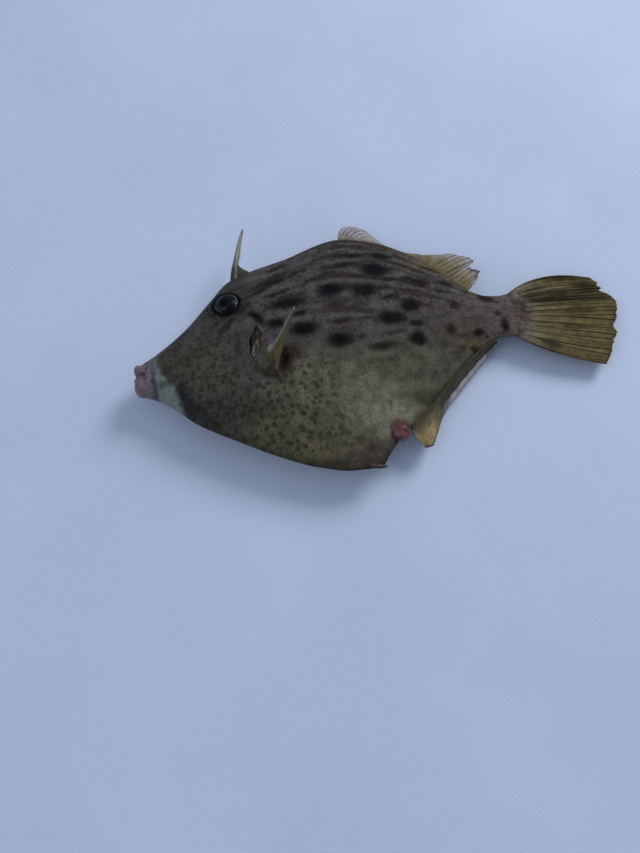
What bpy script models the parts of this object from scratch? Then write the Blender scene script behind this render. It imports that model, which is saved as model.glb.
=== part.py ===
"""Threadsail filefish: a life-size still model of a fish that lies on its right flank.

All the sizes below are in millimetres. x runs from the mouth (0) to the tail, y towards the
back of the fish, and z up from the floor that its right flank rests on. The model is
centred on its own outline at the very end, and is written in metres.
"""
import math

import bmesh
import bpy
from mathutils import Matrix, Vector

MM = 0.001
GAP = 0.3                      # air between pieces that touch
MODEL_NAME = "threadsail_filefish"

# The outline of the body, seen from its left side, as (x, y)
BACK = ((0, 6.5), (4, 8.5), (13, 14), (28, 26.5), (42, 42.5), (53, 54.5), (64, 59.5), (88, 67),
        (104, 73.7), (112, 76.3), (119, 77.4), (138, 73.7), (157, 63.5), (176, 48.5), (190, 36.5),
        (201, 32.2), (207, 32), (214, 33.4))
BELLY = ((0, -8), (4, -11.5), (14, -16.5), (33, -32), (52, -43), (73, -54), (93, -62), (110, -65.5),
         (124, -65.5), (131, -57.5), (137, -50.5), (143, -45), (155, -35), (170, -20), (185, -6),
         (197, 2), (205, 5), (214, 5))
# Half of the body's thickness, its mid plane above the floor, and how far it thins to the belly
HALF_THICKNESS = ((0, 4.4), (5, 5.4), (9, 5.6), (14, 7.2), (30, 10.5), (50, 14.5), (70, 17.8), (90, 19),
                  (115, 18.2), (140, 14.5), (165, 10.2), (185, 7), (198, 5.2), (207, 4.2), (214, 2.0))
MID_HEIGHT = ((0, 15), (60, 16.5), (150, 16), (190, 13), (214, 11))
KEEL = ((0, 0.1), (30, 0.5), (60, 0.6), (100, 0.85), (125, 0.9), (140, 0.7), (170, 0.4), (214, 0.1))
BACK_KEEL = 0.2
NOSE_X = -1.1
NOSE_Y = -1.0
NOSE_CAP_X = 5.0               # where the round end of the snout reaches its full size
NOSE_POWER = 2.6
FIRST_RING = 0.35              # its place behind the tip of the snout, in ring spacings
TAIL_X = 214.0                 # where the body ends and the tail fin starts
# Spacing of the body's rings along x, closer where the outline turns sharply
RING_SPACING = ((-1.1, 0.8), (5, 1.5), (12, 2.6), (45, 3.6), (112, 3.8), (122, 2.2), (139, 2.2),
                (152, 3.8), (190, 3.6), (214, 2.4))
RING_SIDES = 32

# Thin cuts that divide the body, each a point and the direction of its plane's normal
LIPS_CUT = ((8.6, 0, 15), (1, 0.12, 0))
NECK_CUT = ((71.6, 0, 15), (1, -0.145, 0))
STALK_CUT = ((196.4, 18, 12), (1, 0.3, 0))
FLAP_CUT = ((112, -52, 16), (12, -56, 0))
MOUTH_SLIT = ((3, -0.6, 15), (0.05, 1, 0))
MOUTH_SLIT_OPEN = 0.7

UPPER_LIP = ((2.1, 3.7), (3.0, 4.9, 5.6))       # centre (x, y) and radii
LOWER_LIP = ((3.4, -6.2), (4.3, 6.6, 6.0))

EYE_AT = (52.2, 33.1)
EYE_RADII = (7.3, 7.1, 4.6)
EYE_OUTWARD = 0.45             # how far the eye turns from the skin's slope to look straight out
EYE_SUNK = 1.3                 # the eyeball's centre below the skin
LID_RADIUS = 7.7
LID_THICKNESS = 0.75
LID_OVAL = 0.97
LID_SUNK = 0.2
NOSTRILS = ((41.2, 33.2, 1.0), (38.8, 31.0, 0.8))     # x, y and the rim's radius
NOSTRIL_RIM = 0.35
NOSTRIL_SUNK = 0.1
NOSTRIL_PIT = 0.5              # the hole's radius, as a share of the rim's

SLIT_AT = (66.3, 5.2)
SLIT_RADII = (3.1, 10.2, 3.4)
SLIT_TILT = -0.12
FLAP_RADII = (2.2, 7.8, 1.3)
FLAP_SHIFT = -0.4
FLAP_SUNK = (0.9, 1.4)         # below the skin on the left side and on the right one

SPINE_PATH = ((56.4, 50.5), (56.6, 56.5), (57.1, 62), (58.3, 69), (60.4, 79.5), (63.9, 92.7))
SPINE_RADII = (2.2, 2.5, 2.2, 1.75, 1.3, 0.35)
SPINE_BARBS = 9
BARB_START = 75.5              # y of the lowest barbs
BARB_SPACING = 1.75
BARB_LENGTH = 1.3
BARB_SHORTER = 0.05            # how much of its length each barb loses to the one below it
BARB_RADIUS = 0.5
BARB_ROOT = (0.2, 0.3)         # its root, across the spine, as shares of the spine's radius
BARB_LEAN = (0.75, -0.7, 0.6)  # to the rear, down, and to the side
WEB_TOP = 67.5                 # how far up the spine's rear edge its skin reaches
WEB_END_X = 65.6
WEB_EDGE = ((61.9, 62.2), (61.5, 64.2))        # bend and tip of its middle ray
WEB_END = ((65.3, 61.0), (65.0, 61.5))         # bend and tip of its last ray
WEB_THICKNESS = 0.9

PELVIC_SPINE_PATH = ((120.6, -64.0), (124.6, -65.0), (128.4, -65.1))
PELVIC_SPINE_RADII = (1.2, 1.3, 0.4)

VENT_AT = (137.3, -47.2, 16.8)
VENT_RADII = (4.9, 4.9, 4.6)

RAY_THICKNESS = 1.05
ROOT_THICKNESS = 1.2
ROOT_SLACK = 0.1               # room for the flat facets of the body under a fin's root
WEB_OF_FIN = 0.55
RAY_WIDTH = 0.28               # half of a ray's width, as a share of the space between rays
RAY_TAPER = 0.35
FORK_AT = 0.4                  # how far along it a branched ray divides
DORSAL_RAYS = 34
ANAL_RAYS = 33
CAUDAL_RAYS = 12
PECTORAL_RAYS = 13

# Guide rays of each fin: place along the root (0 to 1), then the bend and the tip as (x, y, z)
DORSAL_ROOT = (119.4, 190.4)
DORSAL_GUIDES = ((0.00, (120.5, 90.5, 15.5), (131.5, 89.4, 12.5)),
                 (0.06, (128.5, 90.0, 15.0), (137.4, 86.4, 11.5)),
                 (0.13, (136.5, 86.0, 14.0), (143.0, 81.0, 10.0)),
                 (0.22, (143.0, 80.0, 12.0), (148.8, 76.0, 8.0)),
                 (0.32, (148.5, 75.2, 11.0), (154.5, 71.8, 6.5)),
                 (0.43, (155.5, 70.8, 10.0), (161.5, 69.8, 6.0)),
                 (0.57, (167.0, 66.0, 12.0), (173.0, 65.8, 9.5)),
                 (0.71, (178.0, 60.5, 13.0), (187.0, 63.6, 12.0)),
                 (0.83, (188.0, 53.5, 13.0), (198.6, 57.0, 12.0)),
                 (0.88, (189.5, 49.5, 12.8), (195.4, 53.2, 12.0)),
                 (0.94, (193.0, 45.5, 12.5), (200.8, 50.0, 12.0)),
                 (1.00, (193.6, 39.5, 12.5), (196.4, 42.8, 12.0)))
ANAL_ROOT = (143.6, 200.0)
ANAL_GUIDES = ((0.00, (143.5, -50.5, 15.5), (150.0, -56.0, 12.0)),
               (0.10, (149.5, -49.5, 14.5), (153.6, -55.2, 11.0)),
               (0.20, (155.0, -42.5, 12.5), (157.5, -48.6, 8.0)),
               (0.35, (163.5, -34.0, 10.5), (164.0, -36.0, 5.0)),
               (0.55, (176.0, -20.5, 9.5), (177.5, -21.0, 4.2)),
               (0.75, (188.0, -8.5, 9.0), (189.5, -9.0, 4.2)),
               (0.92, (197.6, -0.2, 9.5), (198.8, -0.3, 6.0)),
               (1.00, (201.2, 2.6, 11.0), (202.4, 2.6, 9.5)))
CAUDAL_ROOT = (32.6, 5.6)
CAUDAL_GUIDES = ((0.00, (235.0, 49.4, 9.4), (266.5, 41.6, 7.0)),
                 (0.10, (240.0, 40.5, 9.0), (272.4, 36.0, 6.4)),
                 (0.22, (242.0, 31.0, 9.0), (273.8, 31.0, 6.2)),
                 (0.36, (242.0, 25.0, 9.0), (278.2, 24.5, 5.9)),
                 (0.52, (242.0, 18.0, 9.0), (276.0, 15.5, 6.1)),
                 (0.64, (240.0, 12.0, 9.0), (271.3, 7.0, 6.3)),
                 (0.72, (239.0, 9.0, 9.0), (272.6, 3.6, 6.3)),
                 (0.84, (236.0, 2.5, 9.0), (268.2, -4.0, 6.6)),
                 (0.93, (233.0, -3.5, 9.2), (264.8, -10.4, 6.9)),
                 (1.00, (229.0, -8.5, 9.6), (260.4, -16.4, 7.2)))
CAUDAL_ROOT_THICKNESS = 3.0
SHARP_ANGLE = 40               # degrees between faces from which an edge stays sharp
LEFT_PECTORAL_ROOT = ((75.9, 1.9), (76.2, -11.6))
LEFT_PECTORAL_GUIDES = ((0.0, (81.0, 5.3, 41.0), (88.9, 13.9, 50.0)),
                        (0.3, (81.0, 2.4, 41.4), (87.2, 9.7, 50.0)),
                        (0.6, (80.0, -2.4, 40.6), (84.8, 4.0, 48.6)),
                        (1.0, (78.6, -8.2, 38.4), (81.6, -2.8, 44.2)))
LEFT_PECTORAL_THICKNESS = 1.6
PECTORAL_RISE = 0.9            # its root stands this far off the skin, so that its corners clear it
RIGHT_PECTORAL_ROOT = ((76.4, 1.4), (76.4, -8.6))
RIGHT_PECTORAL_SPAN = (0.50, -0.62)        # directions of its first and last ray
RIGHT_PECTORAL_LENGTHS = ((0, 27.5), (0.25, 28), (0.6, 24), (1, 16))
RIGHT_PECTORAL_HEIGHT = 0.55
RIGHT_PECTORAL_THICKNESS = 0.9
RECESS_TOP = 1.4
RECESS_MARGIN = 0.8
RECESS_FLOOR = -1.0
PECTORAL_BASE = ((73.3, -4.2), (1.7, 7.0, 1.4))

# Colours (red, green, blue) and roughness
SKIN = ((0.20, 0.19, 0.15), 0.45)
HEAD_SKIN = ((0.22, 0.20, 0.14), 0.45)
LIP = ((0.50, 0.33, 0.29), 0.35)
FLAP_SKIN = ((0.19, 0.18, 0.11), 0.55)
STALK_SKIN = ((0.30, 0.26, 0.23), 0.45)
SPINE_BONE = ((0.50, 0.45, 0.27), 0.4)
FIN_CREAM = ((0.55, 0.47, 0.30), 0.4)
FIN_OLIVE = ((0.34, 0.31, 0.12), 0.4)
EYE_GLOSS = ((0.03, 0.05, 0.05), 0.08)
GILL_CREAM = ((0.50, 0.42, 0.20), 0.35)
VENT_RED = ((0.50, 0.17, 0.16), 0.3)


def smooth(points, x):
    """Value at x of a smooth curve through the points that never overshoots them."""
    xs = [p[0] for p in points]
    ys = [p[1] for p in points]
    steps = [b - a for a, b in zip(xs, xs[1:])]
    slopes = [(b - a) / h for a, b, h in zip(ys, ys[1:], steps)]
    turns = [slopes[0]]
    for before, after, left, right in zip(slopes, slopes[1:], steps, steps[1:]):
        if before * after <= 0:
            turns.append(0.0)
            continue
        first = 2 * right + left
        second = right + 2 * left
        turns.append((first + second) / (first / before + second / after))
    turns.append(slopes[-1])
    x = min(max(x, xs[0]), xs[-1])
    i = 0
    while i < len(steps) - 1 and x >= xs[i + 1]:
        i += 1
    t = (x - xs[i]) / steps[i]
    start = (1 + 2 * t) * (1 - t) ** 2 * ys[i] + t * (1 - t) ** 2 * steps[i] * turns[i]
    end = t * t * (3 - 2 * t) * ys[i + 1] + t * t * (t - 1) * steps[i] * turns[i + 1]
    return start + end


def half_at(x, v):
    """Half thickness of the body at x, where v goes from 0 at the belly to 1 at the back."""
    v = min(max(v, 0.0), 1.0)
    rim = 2 * math.sqrt(v * (1 - v))
    thinning = (1 - smooth(KEEL, x) * (1 - v) ** 3) * (1 - BACK_KEEL * v ** 6)
    return smooth(HALF_THICKNESS, x) * rim * thinning


def flank_height(x, y, side):
    """Height of the skin at (x, y) on the left, upper flank (side 1) or the right one (-1)."""
    back = smooth(BACK, x)
    belly = smooth(BELLY, x)
    half = half_at(x, (y - belly) / (back - belly))
    return max(smooth(MID_HEIGHT, x) + side * half, 0.0)


def flank_frame(x, y, side, sunk=0.0, outward=0.0):
    """Frame on the skin at (x, y): its z axis points out of the body, and its x axis to the tail.

    With outward above 0 the z axis turns from the skin's normal to the fish's own side.
    """
    step = 0.5
    across_x = flank_height(x + step, y, side) - flank_height(x - step, y, side)
    across_y = flank_height(x, y + step, side) - flank_height(x, y - step, side)
    out = Vector((-side * across_x / (2 * step), -side * across_y / (2 * step), 1)).normalized() * side
    out = out.lerp(Vector((0, 0, side)), outward).normalized()
    along = Vector((1, 0, 0))
    along = (along - out * along.dot(out)).normalized()
    turned = Matrix((along, out.cross(along), out)).transposed().to_4x4()
    place = Vector((x, y, flank_height(x, y, side))) - out * sunk
    return Matrix.Translation(place) @ turned


def material(name, finish):
    """Principled material with the finish's colour and roughness."""
    found = bpy.data.materials.get(name)
    if found:
        return found
    made = bpy.data.materials.new(name)
    made.use_nodes = True
    shader = made.node_tree.nodes["Principled BSDF"]
    shader.inputs["Base Color"].default_value = (*finish[0], 1.0)
    shader.inputs["Roughness"].default_value = finish[1]
    shader.inputs["Metallic"].default_value = 0.0
    return made


def add_object(name, shape, collection, finish=None):
    """Object made from a bmesh in millimetres; the bmesh is freed."""
    mesh = bpy.data.meshes.new(name)
    shape.to_mesh(mesh)
    shape.free()
    obj = bpy.data.objects.new(name, mesh)
    collection.objects.link(obj)
    if finish:
        mesh.materials.append(material(name + "_finish", finish))
    else:
        obj.hide_render = True
        obj.display_type = "WIRE"
    return obj


def apply_modifiers(obj):
    """Give the object the mesh that its modifiers make."""
    bpy.context.view_layer.update()
    graph = bpy.context.evaluated_depsgraph_get()
    finished = bpy.data.meshes.new_from_object(obj.evaluated_get(graph))
    obj.modifiers.clear()
    obj.data = finished


def remove_object(obj):
    """Take a helper object out of the model."""
    bpy.data.objects.remove(obj, do_unlink=True)


def keep_largest(obj):
    """Keep only the object's largest closed surface."""
    shape = bmesh.new()
    shape.from_mesh(obj.data)
    unseen = set(shape.faces)
    pieces = []
    while unseen:
        stack = [unseen.pop()]
        piece = list(stack)
        while stack:
            face = stack.pop()
            for edge in face.edges:
                for other in edge.link_faces:
                    if other in unseen:
                        unseen.remove(other)
                        stack.append(other)
                        piece.append(other)
        pieces.append(piece)
    pieces.sort(key=lambda piece: sum(face.calc_area() for face in piece))
    loose = [face for piece in pieces[:-1] for face in piece]
    if loose:
        bmesh.ops.delete(shape, geom=loose, context="FACES")
    shape.to_mesh(obj.data)
    shape.free()


def boolean(obj, tools, operation):
    """Join the tools to the object or cut them out of it, then remove them."""
    group = bpy.data.collections.new(obj.name + "_tools")
    bpy.context.scene.collection.children.link(group)
    for tool in tools:
        for holder in list(tool.users_collection):
            holder.objects.unlink(tool)
        group.objects.link(tool)
    change = obj.modifiers.new("change", "BOOLEAN")
    change.operation = operation
    change.operand_type = "COLLECTION"
    change.collection = group
    change.solver = "EXACT"
    apply_modifiers(obj)
    for tool in tools:
        remove_object(tool)
    bpy.data.collections.remove(group)
    keep_largest(obj)


def cut_copy(obj, name, finish, planes, collection):
    """Copy of a closed object that keeps what lies behind each plane, with flat caps."""
    shape = bmesh.new()
    shape.from_mesh(obj.data)
    for point, normal, clear in planes:
        out = Vector(normal).normalized()
        bmesh.ops.bisect_plane(shape, geom=shape.verts[:] + shape.edges[:] + shape.faces[:],
                               dist=0.0001, plane_co=Vector(point) - out * clear, plane_no=out,
                               clear_outer=True)
        rim = [edge for edge in shape.edges if edge.is_boundary]
        bmesh.ops.holes_fill(shape, edges=rim, sides=0)
    bmesh.ops.triangulate(shape, faces=[face for face in shape.faces if len(face.verts) > 4])
    bmesh.ops.recalc_face_normals(shape, faces=shape.faces)
    return add_object(name, shape, collection, finish)


def opposite(plane):
    """The same cut, keeping its other side."""
    point, normal = plane
    return point, tuple(-part for part in normal), GAP / 2


def near(plane):
    """The cut as cut_copy reads it, keeping the side that the normal points away from."""
    return plane[0], plane[1], GAP / 2


def ellipsoid(name, centre, radii, frame, collection, finish=None, sides=16, rings=10):
    """Closed ball of three radii, with its centre in the frame."""
    shape = bmesh.new()
    bmesh.ops.create_uvsphere(shape, u_segments=sides, v_segments=rings, radius=1.0)
    scaled = Matrix.Translation(Vector(centre)) @ Matrix.Diagonal((*radii, 1.0))
    bmesh.ops.transform(shape, matrix=frame @ scaled, verts=shape.verts)
    return add_object(name, shape, collection, finish)


def ring(name, radius, thickness, frame, collection, sides=18, around=6, oval=1.0):
    """Round rim that lies on the frame's floor."""
    shape = bmesh.new()
    bmesh.ops.create_circle(shape, cap_ends=False, segments=around, radius=thickness)
    bmesh.ops.rotate(shape, verts=shape.verts, matrix=Matrix.Rotation(math.pi / 2, 3, "X"))
    bmesh.ops.translate(shape, verts=shape.verts, vec=(radius, 0, 0))
    bmesh.ops.spin(shape, geom=shape.edges[:], cent=(0, 0, 0), axis=(0, 0, 1), steps=sides,
                   angle=2 * math.pi, use_duplicate=False)
    bmesh.ops.remove_doubles(shape, verts=shape.verts, dist=0.001)
    bmesh.ops.recalc_face_normals(shape, faces=shape.faces)
    stretched = Matrix.Diagonal((1.0, oval, 1.0, 1.0))
    bmesh.ops.transform(shape, matrix=frame @ stretched, verts=shape.verts)
    return add_object(name, shape, collection)


def taper(name, path, radii, collection, finish=None, sides=2):
    """Round closed spine along a path of points, with a radius at each."""
    curve = bpy.data.curves.new(name, "CURVE")
    curve.dimensions = "3D"
    curve.bevel_depth = 1.0
    curve.bevel_resolution = sides
    curve.use_fill_caps = True
    spline = curve.splines.new("POLY")
    spline.points.add(len(path) - 1)
    for point, place, radius in zip(spline.points, path, radii):
        point.co = (*place, 1.0)
        point.radius = radius
    holder = bpy.data.objects.new(name + "_curve", curve)
    collection.objects.link(holder)
    bpy.context.view_layer.update()
    graph = bpy.context.evaluated_depsgraph_get()
    shape = bmesh.new()
    shape.from_mesh(bpy.data.meshes.new_from_object(holder.evaluated_get(graph)))
    remove_object(holder)
    bmesh.ops.remove_doubles(shape, verts=shape.verts, dist=0.001)
    bmesh.ops.recalc_face_normals(shape, faces=shape.faces)
    return add_object(name, shape, collection, finish)


def cone(name, root, tip, radius, collection, sides=5):
    """Small barb from its root to its tip."""
    root = Vector(root)
    reach = Vector(tip) - root
    shape = bmesh.new()
    bmesh.ops.create_cone(shape, cap_ends=True, segments=sides, radius1=radius, radius2=0.06,
                          depth=reach.length)
    turned = reach.to_track_quat("Z", "Y").to_matrix().to_4x4()
    bmesh.ops.transform(shape, matrix=Matrix.Translation(root + reach / 2) @ turned, verts=shape.verts)
    return add_object(name, shape, collection)


def ring_places():
    """x of each ring of the body, from the snout to the tail."""
    places = [NOSE_X + smooth(RING_SPACING, NOSE_X) * FIRST_RING]
    while places[-1] < TAIL_X:
        places.append(places[-1] + smooth(RING_SPACING, places[-1]))
    stretch = (TAIL_X - places[0]) / (places[-1] - places[0])
    return [places[0] + (place - places[0]) * stretch for place in places]


def body_point(x, angle):
    """Point of the skin at x, where the angle runs round the body from the belly."""
    back = smooth(BACK, x)
    belly = smooth(BELLY, x)
    v = (1 - math.cos(angle)) / 2
    side = 1 if math.sin(angle) >= 0 else -1
    y = belly + (back - belly) * v
    height = side * half_at(x, v)
    if x < NOSE_CAP_X:
        share = (NOSE_CAP_X - x) / (NOSE_CAP_X - NOSE_X)
        size = max(1 - share ** NOSE_POWER, 0.0) ** (1 / NOSE_POWER)
        y = NOSE_Y + (y - NOSE_Y) * size
        height *= size
    return Vector((x, y, max(smooth(MID_HEIGHT, x) + height, 0.0)))


def body_loft(collection):
    """The whole body as one closed skin, flat where it rests on the floor."""
    places = ring_places()
    levels = len(places) + 1
    shape = bmesh.new()
    bmesh.ops.create_uvsphere(shape, u_segments=RING_SIDES, v_segments=levels, radius=1.0)
    for vert in shape.verts:
        level = round(math.acos(min(max(vert.co.z, -1.0), 1.0)) / math.pi * levels)
        angle = math.atan2(vert.co.y, vert.co.x)
        if level == 0:
            vert.co = Vector((NOSE_X, NOSE_Y, smooth(MID_HEIGHT, NOSE_X)))
        elif level == levels:
            vert.co = Vector((TAIL_X, (BACK[-1][1] + BELLY[-1][1]) / 2, MID_HEIGHT[-1][1]))
        else:
            vert.co = body_point(places[level - 1], angle)
    bmesh.ops.recalc_face_normals(shape, faces=shape.faces)
    return add_object("body", shape, collection)


def guide_point(root, guides, s, w):
    """Point of a fin: s runs along its root and w along the ray there."""
    bend = [smooth([(guide[0], guide[1][axis]) for guide in guides], s) for axis in range(3)]
    tip = [smooth([(guide[0], guide[2][axis]) for guide in guides], s) for axis in range(3)]
    start = Vector(root(s))
    return start * (1 - w) ** 2 + Vector(bend) * (2 * w * (1 - w)) + Vector(tip) * w * w


def fin_columns(rays, branched):
    """Place of each column of a fin, counted in rays, and whether it is a ray, a fork or skin."""
    columns = [(0.0, "ray")]
    for ray in range(rays - 1):
        left = ray + RAY_WIDTH
        right = ray + 1 - RAY_WIDTH
        if branched and ray > 0:
            columns.append((ray + RAY_WIDTH / 2, "ray"))
        columns += [(left, "skin"), (right, "skin")]
        if branched and ray < rays - 2:
            columns += [(ray + 1 - RAY_WIDTH / 2, "ray"), (ray + 1.0, "fork")]
        else:
            columns.append((ray + 1.0, "ray"))
    return columns


def fin(name, root, guides, rays, rows, collection, finish, root_thickness=ROOT_THICKNESS,
        branched=False):
    """Fin whose rays are ridges on both faces of one membrane."""
    columns = fin_columns(rays, branched)
    last = len(columns) - 1
    shape = bmesh.new()
    bmesh.ops.create_grid(shape, x_segments=last, y_segments=rows, size=1.0)
    thickest = max(root_thickness, RAY_THICKNESS)
    weights = {}
    for vert in shape.verts:
        share, kind = columns[round((vert.co.x + 1) / 2 * last)]
        w = round((vert.co.y + 1) / 2 * rows) / rows
        on_ray = kind == "ray" or (kind == "fork" and w < FORK_AT)
        thickness = RAY_THICKNESS * (1 - RAY_TAPER * w) if on_ray else WEB_OF_FIN
        thickness += (root_thickness - thickness) * max(1 - w * rows, 0.0)
        weights[vert.index] = thickness / thickest
        vert.co = guide_point(root, guides, share / (rays - 1), w)
    bmesh.ops.triangulate(shape, faces=shape.faces)
    obj = add_object(name, shape, collection, finish)
    group = obj.vertex_groups.new(name="thickness")
    for index, weight in weights.items():
        group.add([index], weight, "REPLACE")
    walls = obj.modifiers.new("walls", "SOLIDIFY")
    walls.thickness = thickest
    walls.offset = 0.0
    walls.vertex_group = group.name
    walls.use_rim = True
    apply_modifiers(obj)
    return obj


def make_lips(body, parts, tools):
    """Two swollen lips, parted by the line of the mouth."""
    front = cut_copy(body, "lips", None, [near(LIPS_CUT)], tools)
    swellings = []
    for name, (centre, radii) in (("upper_swelling", UPPER_LIP), ("lower_swelling", LOWER_LIP)):
        middle = (*centre, smooth(MID_HEIGHT, centre[0]))
        swellings.append(ellipsoid(name, middle, radii, Matrix.Identity(4), tools, sides=12, rings=8))
    boolean(front, swellings, "UNION")
    point, normal = MOUTH_SLIT
    upper_side = tuple(-part for part in normal)
    behind = (LIPS_CUT[0], LIPS_CUT[1], GAP / 2)
    cut_copy(front, "lip_upper", LIP, [behind, (point, upper_side, MOUTH_SLIT_OPEN / 2)], parts)
    cut_copy(front, "lip_lower", LIP, [behind, (point, normal, MOUTH_SLIT_OPEN / 2)], parts)
    remove_object(front)


def eye_frame(side, sunk=0.0):
    """Frame of the left eye (side 1) or the right eye (side -1)."""
    return flank_frame(*EYE_AT, side, sunk, EYE_OUTWARD)


def make_head(body, parts, tools):
    """Head from the lips to just behind the gill slits, with lids, nostrils and sockets."""
    head = cut_copy(body, "head", HEAD_SKIN, [opposite(LIPS_CUT), near(NECK_CUT)], parts)
    added = []
    cutters = []
    for side in (1, -1):
        label = "left" if side > 0 else "right"
        added.append(ring("lid_" + label, LID_RADIUS, LID_THICKNESS, eye_frame(side, LID_SUNK), tools,
                          oval=LID_OVAL))
        socket = [radius + GAP for radius in EYE_RADII]
        cutters.append(ellipsoid("socket_" + label, (0, 0, 0), socket, eye_frame(side, EYE_SUNK), tools))
        for index, (x, y, radius) in enumerate(NOSTRILS):
            name = f"nostril_{label}_{index}"
            added.append(ring(name, radius, NOSTRIL_RIM, flank_frame(x, y, side, NOSTRIL_SUNK), tools,
                              sides=8, around=5))
            pit = (radius * NOSTRIL_PIT, radius * NOSTRIL_PIT, radius)
            cutters.append(ellipsoid(name + "_pit", (0, 0, 0), pit, flank_frame(x, y, side), tools,
                                     sides=8, rings=6))
        slit = flank_frame(*SLIT_AT, side) @ Matrix.Rotation(side * SLIT_TILT, 4, "Z")
        cutters.append(ellipsoid("slit_" + label, (0, 0, 0), SLIT_RADII, slit, tools))
    cutters.append(socket_for("spine_socket", SPINE_PATH, SPINE_RADII, tools))
    boolean(head, added, "UNION")
    boolean(head, cutters, "DIFFERENCE")


def make_eyes(parts):
    """Two low eyeballs in their sockets."""
    for side, name in ((1, "eye_left"), (-1, "eye_right")):
        ellipsoid(name, (0, 0, 0), EYE_RADII, eye_frame(side, EYE_SUNK), parts, EYE_GLOSS,
                  sides=20, rings=12)


def make_gill_flaps(parts):
    """Narrow flaps that nearly close the gill slits."""
    for side, name in ((1, "gill_flap_left"), (-1, "gill_flap_right")):
        slit = flank_frame(*SLIT_AT, side) @ Matrix.Rotation(side * SLIT_TILT, 4, "Z")
        sunk = FLAP_SUNK[0] if side > 0 else FLAP_SUNK[1]
        ellipsoid(name, (FLAP_SHIFT, 0, -sunk), FLAP_RADII, slit, parts, GILL_CREAM, sides=12, rings=10)


def in_mid_plane(outline):
    """The outline's points in the body's mid plane."""
    return [(x, y, smooth(MID_HEIGHT, x)) for x, y in outline]


def socket_for(name, outline, radii, tools, sides=2):
    """Space for a spine: wider than it all round, and deeper at its root."""
    path = in_mid_plane(outline)
    root = Vector(path[0])
    path[0] = tuple(root + (root - Vector(path[1])).normalized() * GAP)
    return taper(name, path, [radius + GAP for radius in radii], tools, sides=sides)


def make_spine(parts, tools):
    """Tall dorsal spine with two rows of small barbs down its rear edge."""
    spine = taper("dorsal_spine", in_mid_plane(SPINE_PATH), SPINE_RADII, parts, SPINE_BONE)
    barbs = []
    for index in range(SPINE_BARBS):
        y = BARB_START + BARB_SPACING * index
        x = smooth([(p[1], p[0]) for p in SPINE_PATH], y)
        radius = smooth([(p[1], r) for p, r in zip(SPINE_PATH, SPINE_RADII)], y)
        for side in (1, -1):
            height = smooth(MID_HEIGHT, x)
            root = (x + radius * BARB_ROOT[0], y, height + side * radius * BARB_ROOT[1])
            reach = radius + BARB_LENGTH * (1 - BARB_SHORTER * index)
            tip = (x + reach * BARB_LEAN[0], y + BARB_LENGTH * BARB_LEAN[1],
                   height + side * reach * BARB_LEAN[2])
            barbs.append(cone(f"barb_{index}_{side}", root, tip, BARB_RADIUS, tools))
    boolean(spine, barbs, "UNION")


def make_spine_web(parts):
    """Small skin between the spine's rear edge and the back."""
    def rear_edge(y):
        x = smooth([(p[1], p[0]) for p in SPINE_PATH], y)
        return x + smooth([(p[1], r) for p, r in zip(SPINE_PATH, SPINE_RADII)], y) + GAP

    start = rear_edge(smooth(BACK, WEB_END_X))

    def root(s):
        x = start + (WEB_END_X - start) * s
        return (x, smooth(BACK, x) + GAP, smooth(MID_HEIGHT, x))

    height = smooth(MID_HEIGHT, start)
    halfway = (root(0)[1] + WEB_TOP) / 2
    guides = ((0.0, (rear_edge(halfway), halfway, height), (rear_edge(WEB_TOP), WEB_TOP, height)),
              (0.5, (*WEB_EDGE[0], height), (*WEB_EDGE[1], height)),
              (1.0, (*WEB_END[0], height), (*WEB_END[1], height)))
    fin("spine_membrane", root, guides, 4, 3, parts, SPINE_BONE, root_thickness=WEB_THICKNESS)


def make_vent(parts):
    """Swollen vent between the flap and the anal fin."""
    ellipsoid("vent", VENT_AT, VENT_RADII, Matrix.Identity(4), parts, VENT_RED)


def vent_cutter(tools):
    """Space for the vent in what surrounds it."""
    radii = [radius + GAP for radius in VENT_RADII]
    return ellipsoid("vent_space", VENT_AT, radii, Matrix.Identity(4), tools)


def make_pelvic_spine(parts):
    """Short rough spine at the end of the pelvis."""
    taper("pelvic_spine", in_mid_plane(PELVIC_SPINE_PATH), PELVIC_SPINE_RADII, parts, FLAP_SKIN, sides=1)


def make_trunk(body, parts, tools):
    """Trunk with the roots of the paired fins, and the belly's flap below it."""
    trunk = cut_copy(body, "trunk", SKIN, [opposite(NECK_CUT), near(STALK_CUT), near(FLAP_CUT)], parts)
    centre, radii = PECTORAL_BASE
    base = ellipsoid("base_left", (0, 0, 0), radii, flank_frame(*centre, 1), tools, sides=12, rings=8)
    boolean(trunk, [base], "UNION")
    boolean(trunk, [vent_cutter(tools), recess(tools)], "DIFFERENCE")
    flap = cut_copy(body, "pelvic_flap", FLAP_SKIN, [opposite(FLAP_CUT), opposite(NECK_CUT)], parts)
    pelvic_space = socket_for("pelvic_space", PELVIC_SPINE_PATH, PELVIC_SPINE_RADII, tools, sides=1)
    boolean(flap, [vent_cutter(tools), pelvic_space], "DIFFERENCE")


def make_stalk(body, parts):
    """Tail stalk between the last rays of the dorsal and anal fins and the tail fin."""
    cut_copy(body, "tail_stalk", STALK_SKIN, [opposite(STALK_CUT)], parts)


def edge_root(outline, span, guides, outward):
    """Root of a fin along the body's edge, further out where its rays turn down."""
    def root(s):
        x = span[0] + (span[1] - span[0]) * s
        place = Vector((x, smooth(outline, x), smooth(MID_HEIGHT, x)))
        bend = Vector([smooth([(guide[0], guide[1][axis]) for guide in guides], s) for axis in range(3)])
        reach = (bend - place).normalized()
        place.y += outward * (GAP + ROOT_THICKNESS / 2 * abs(reach.z) + ROOT_SLACK)
        return place
    return root


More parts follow.
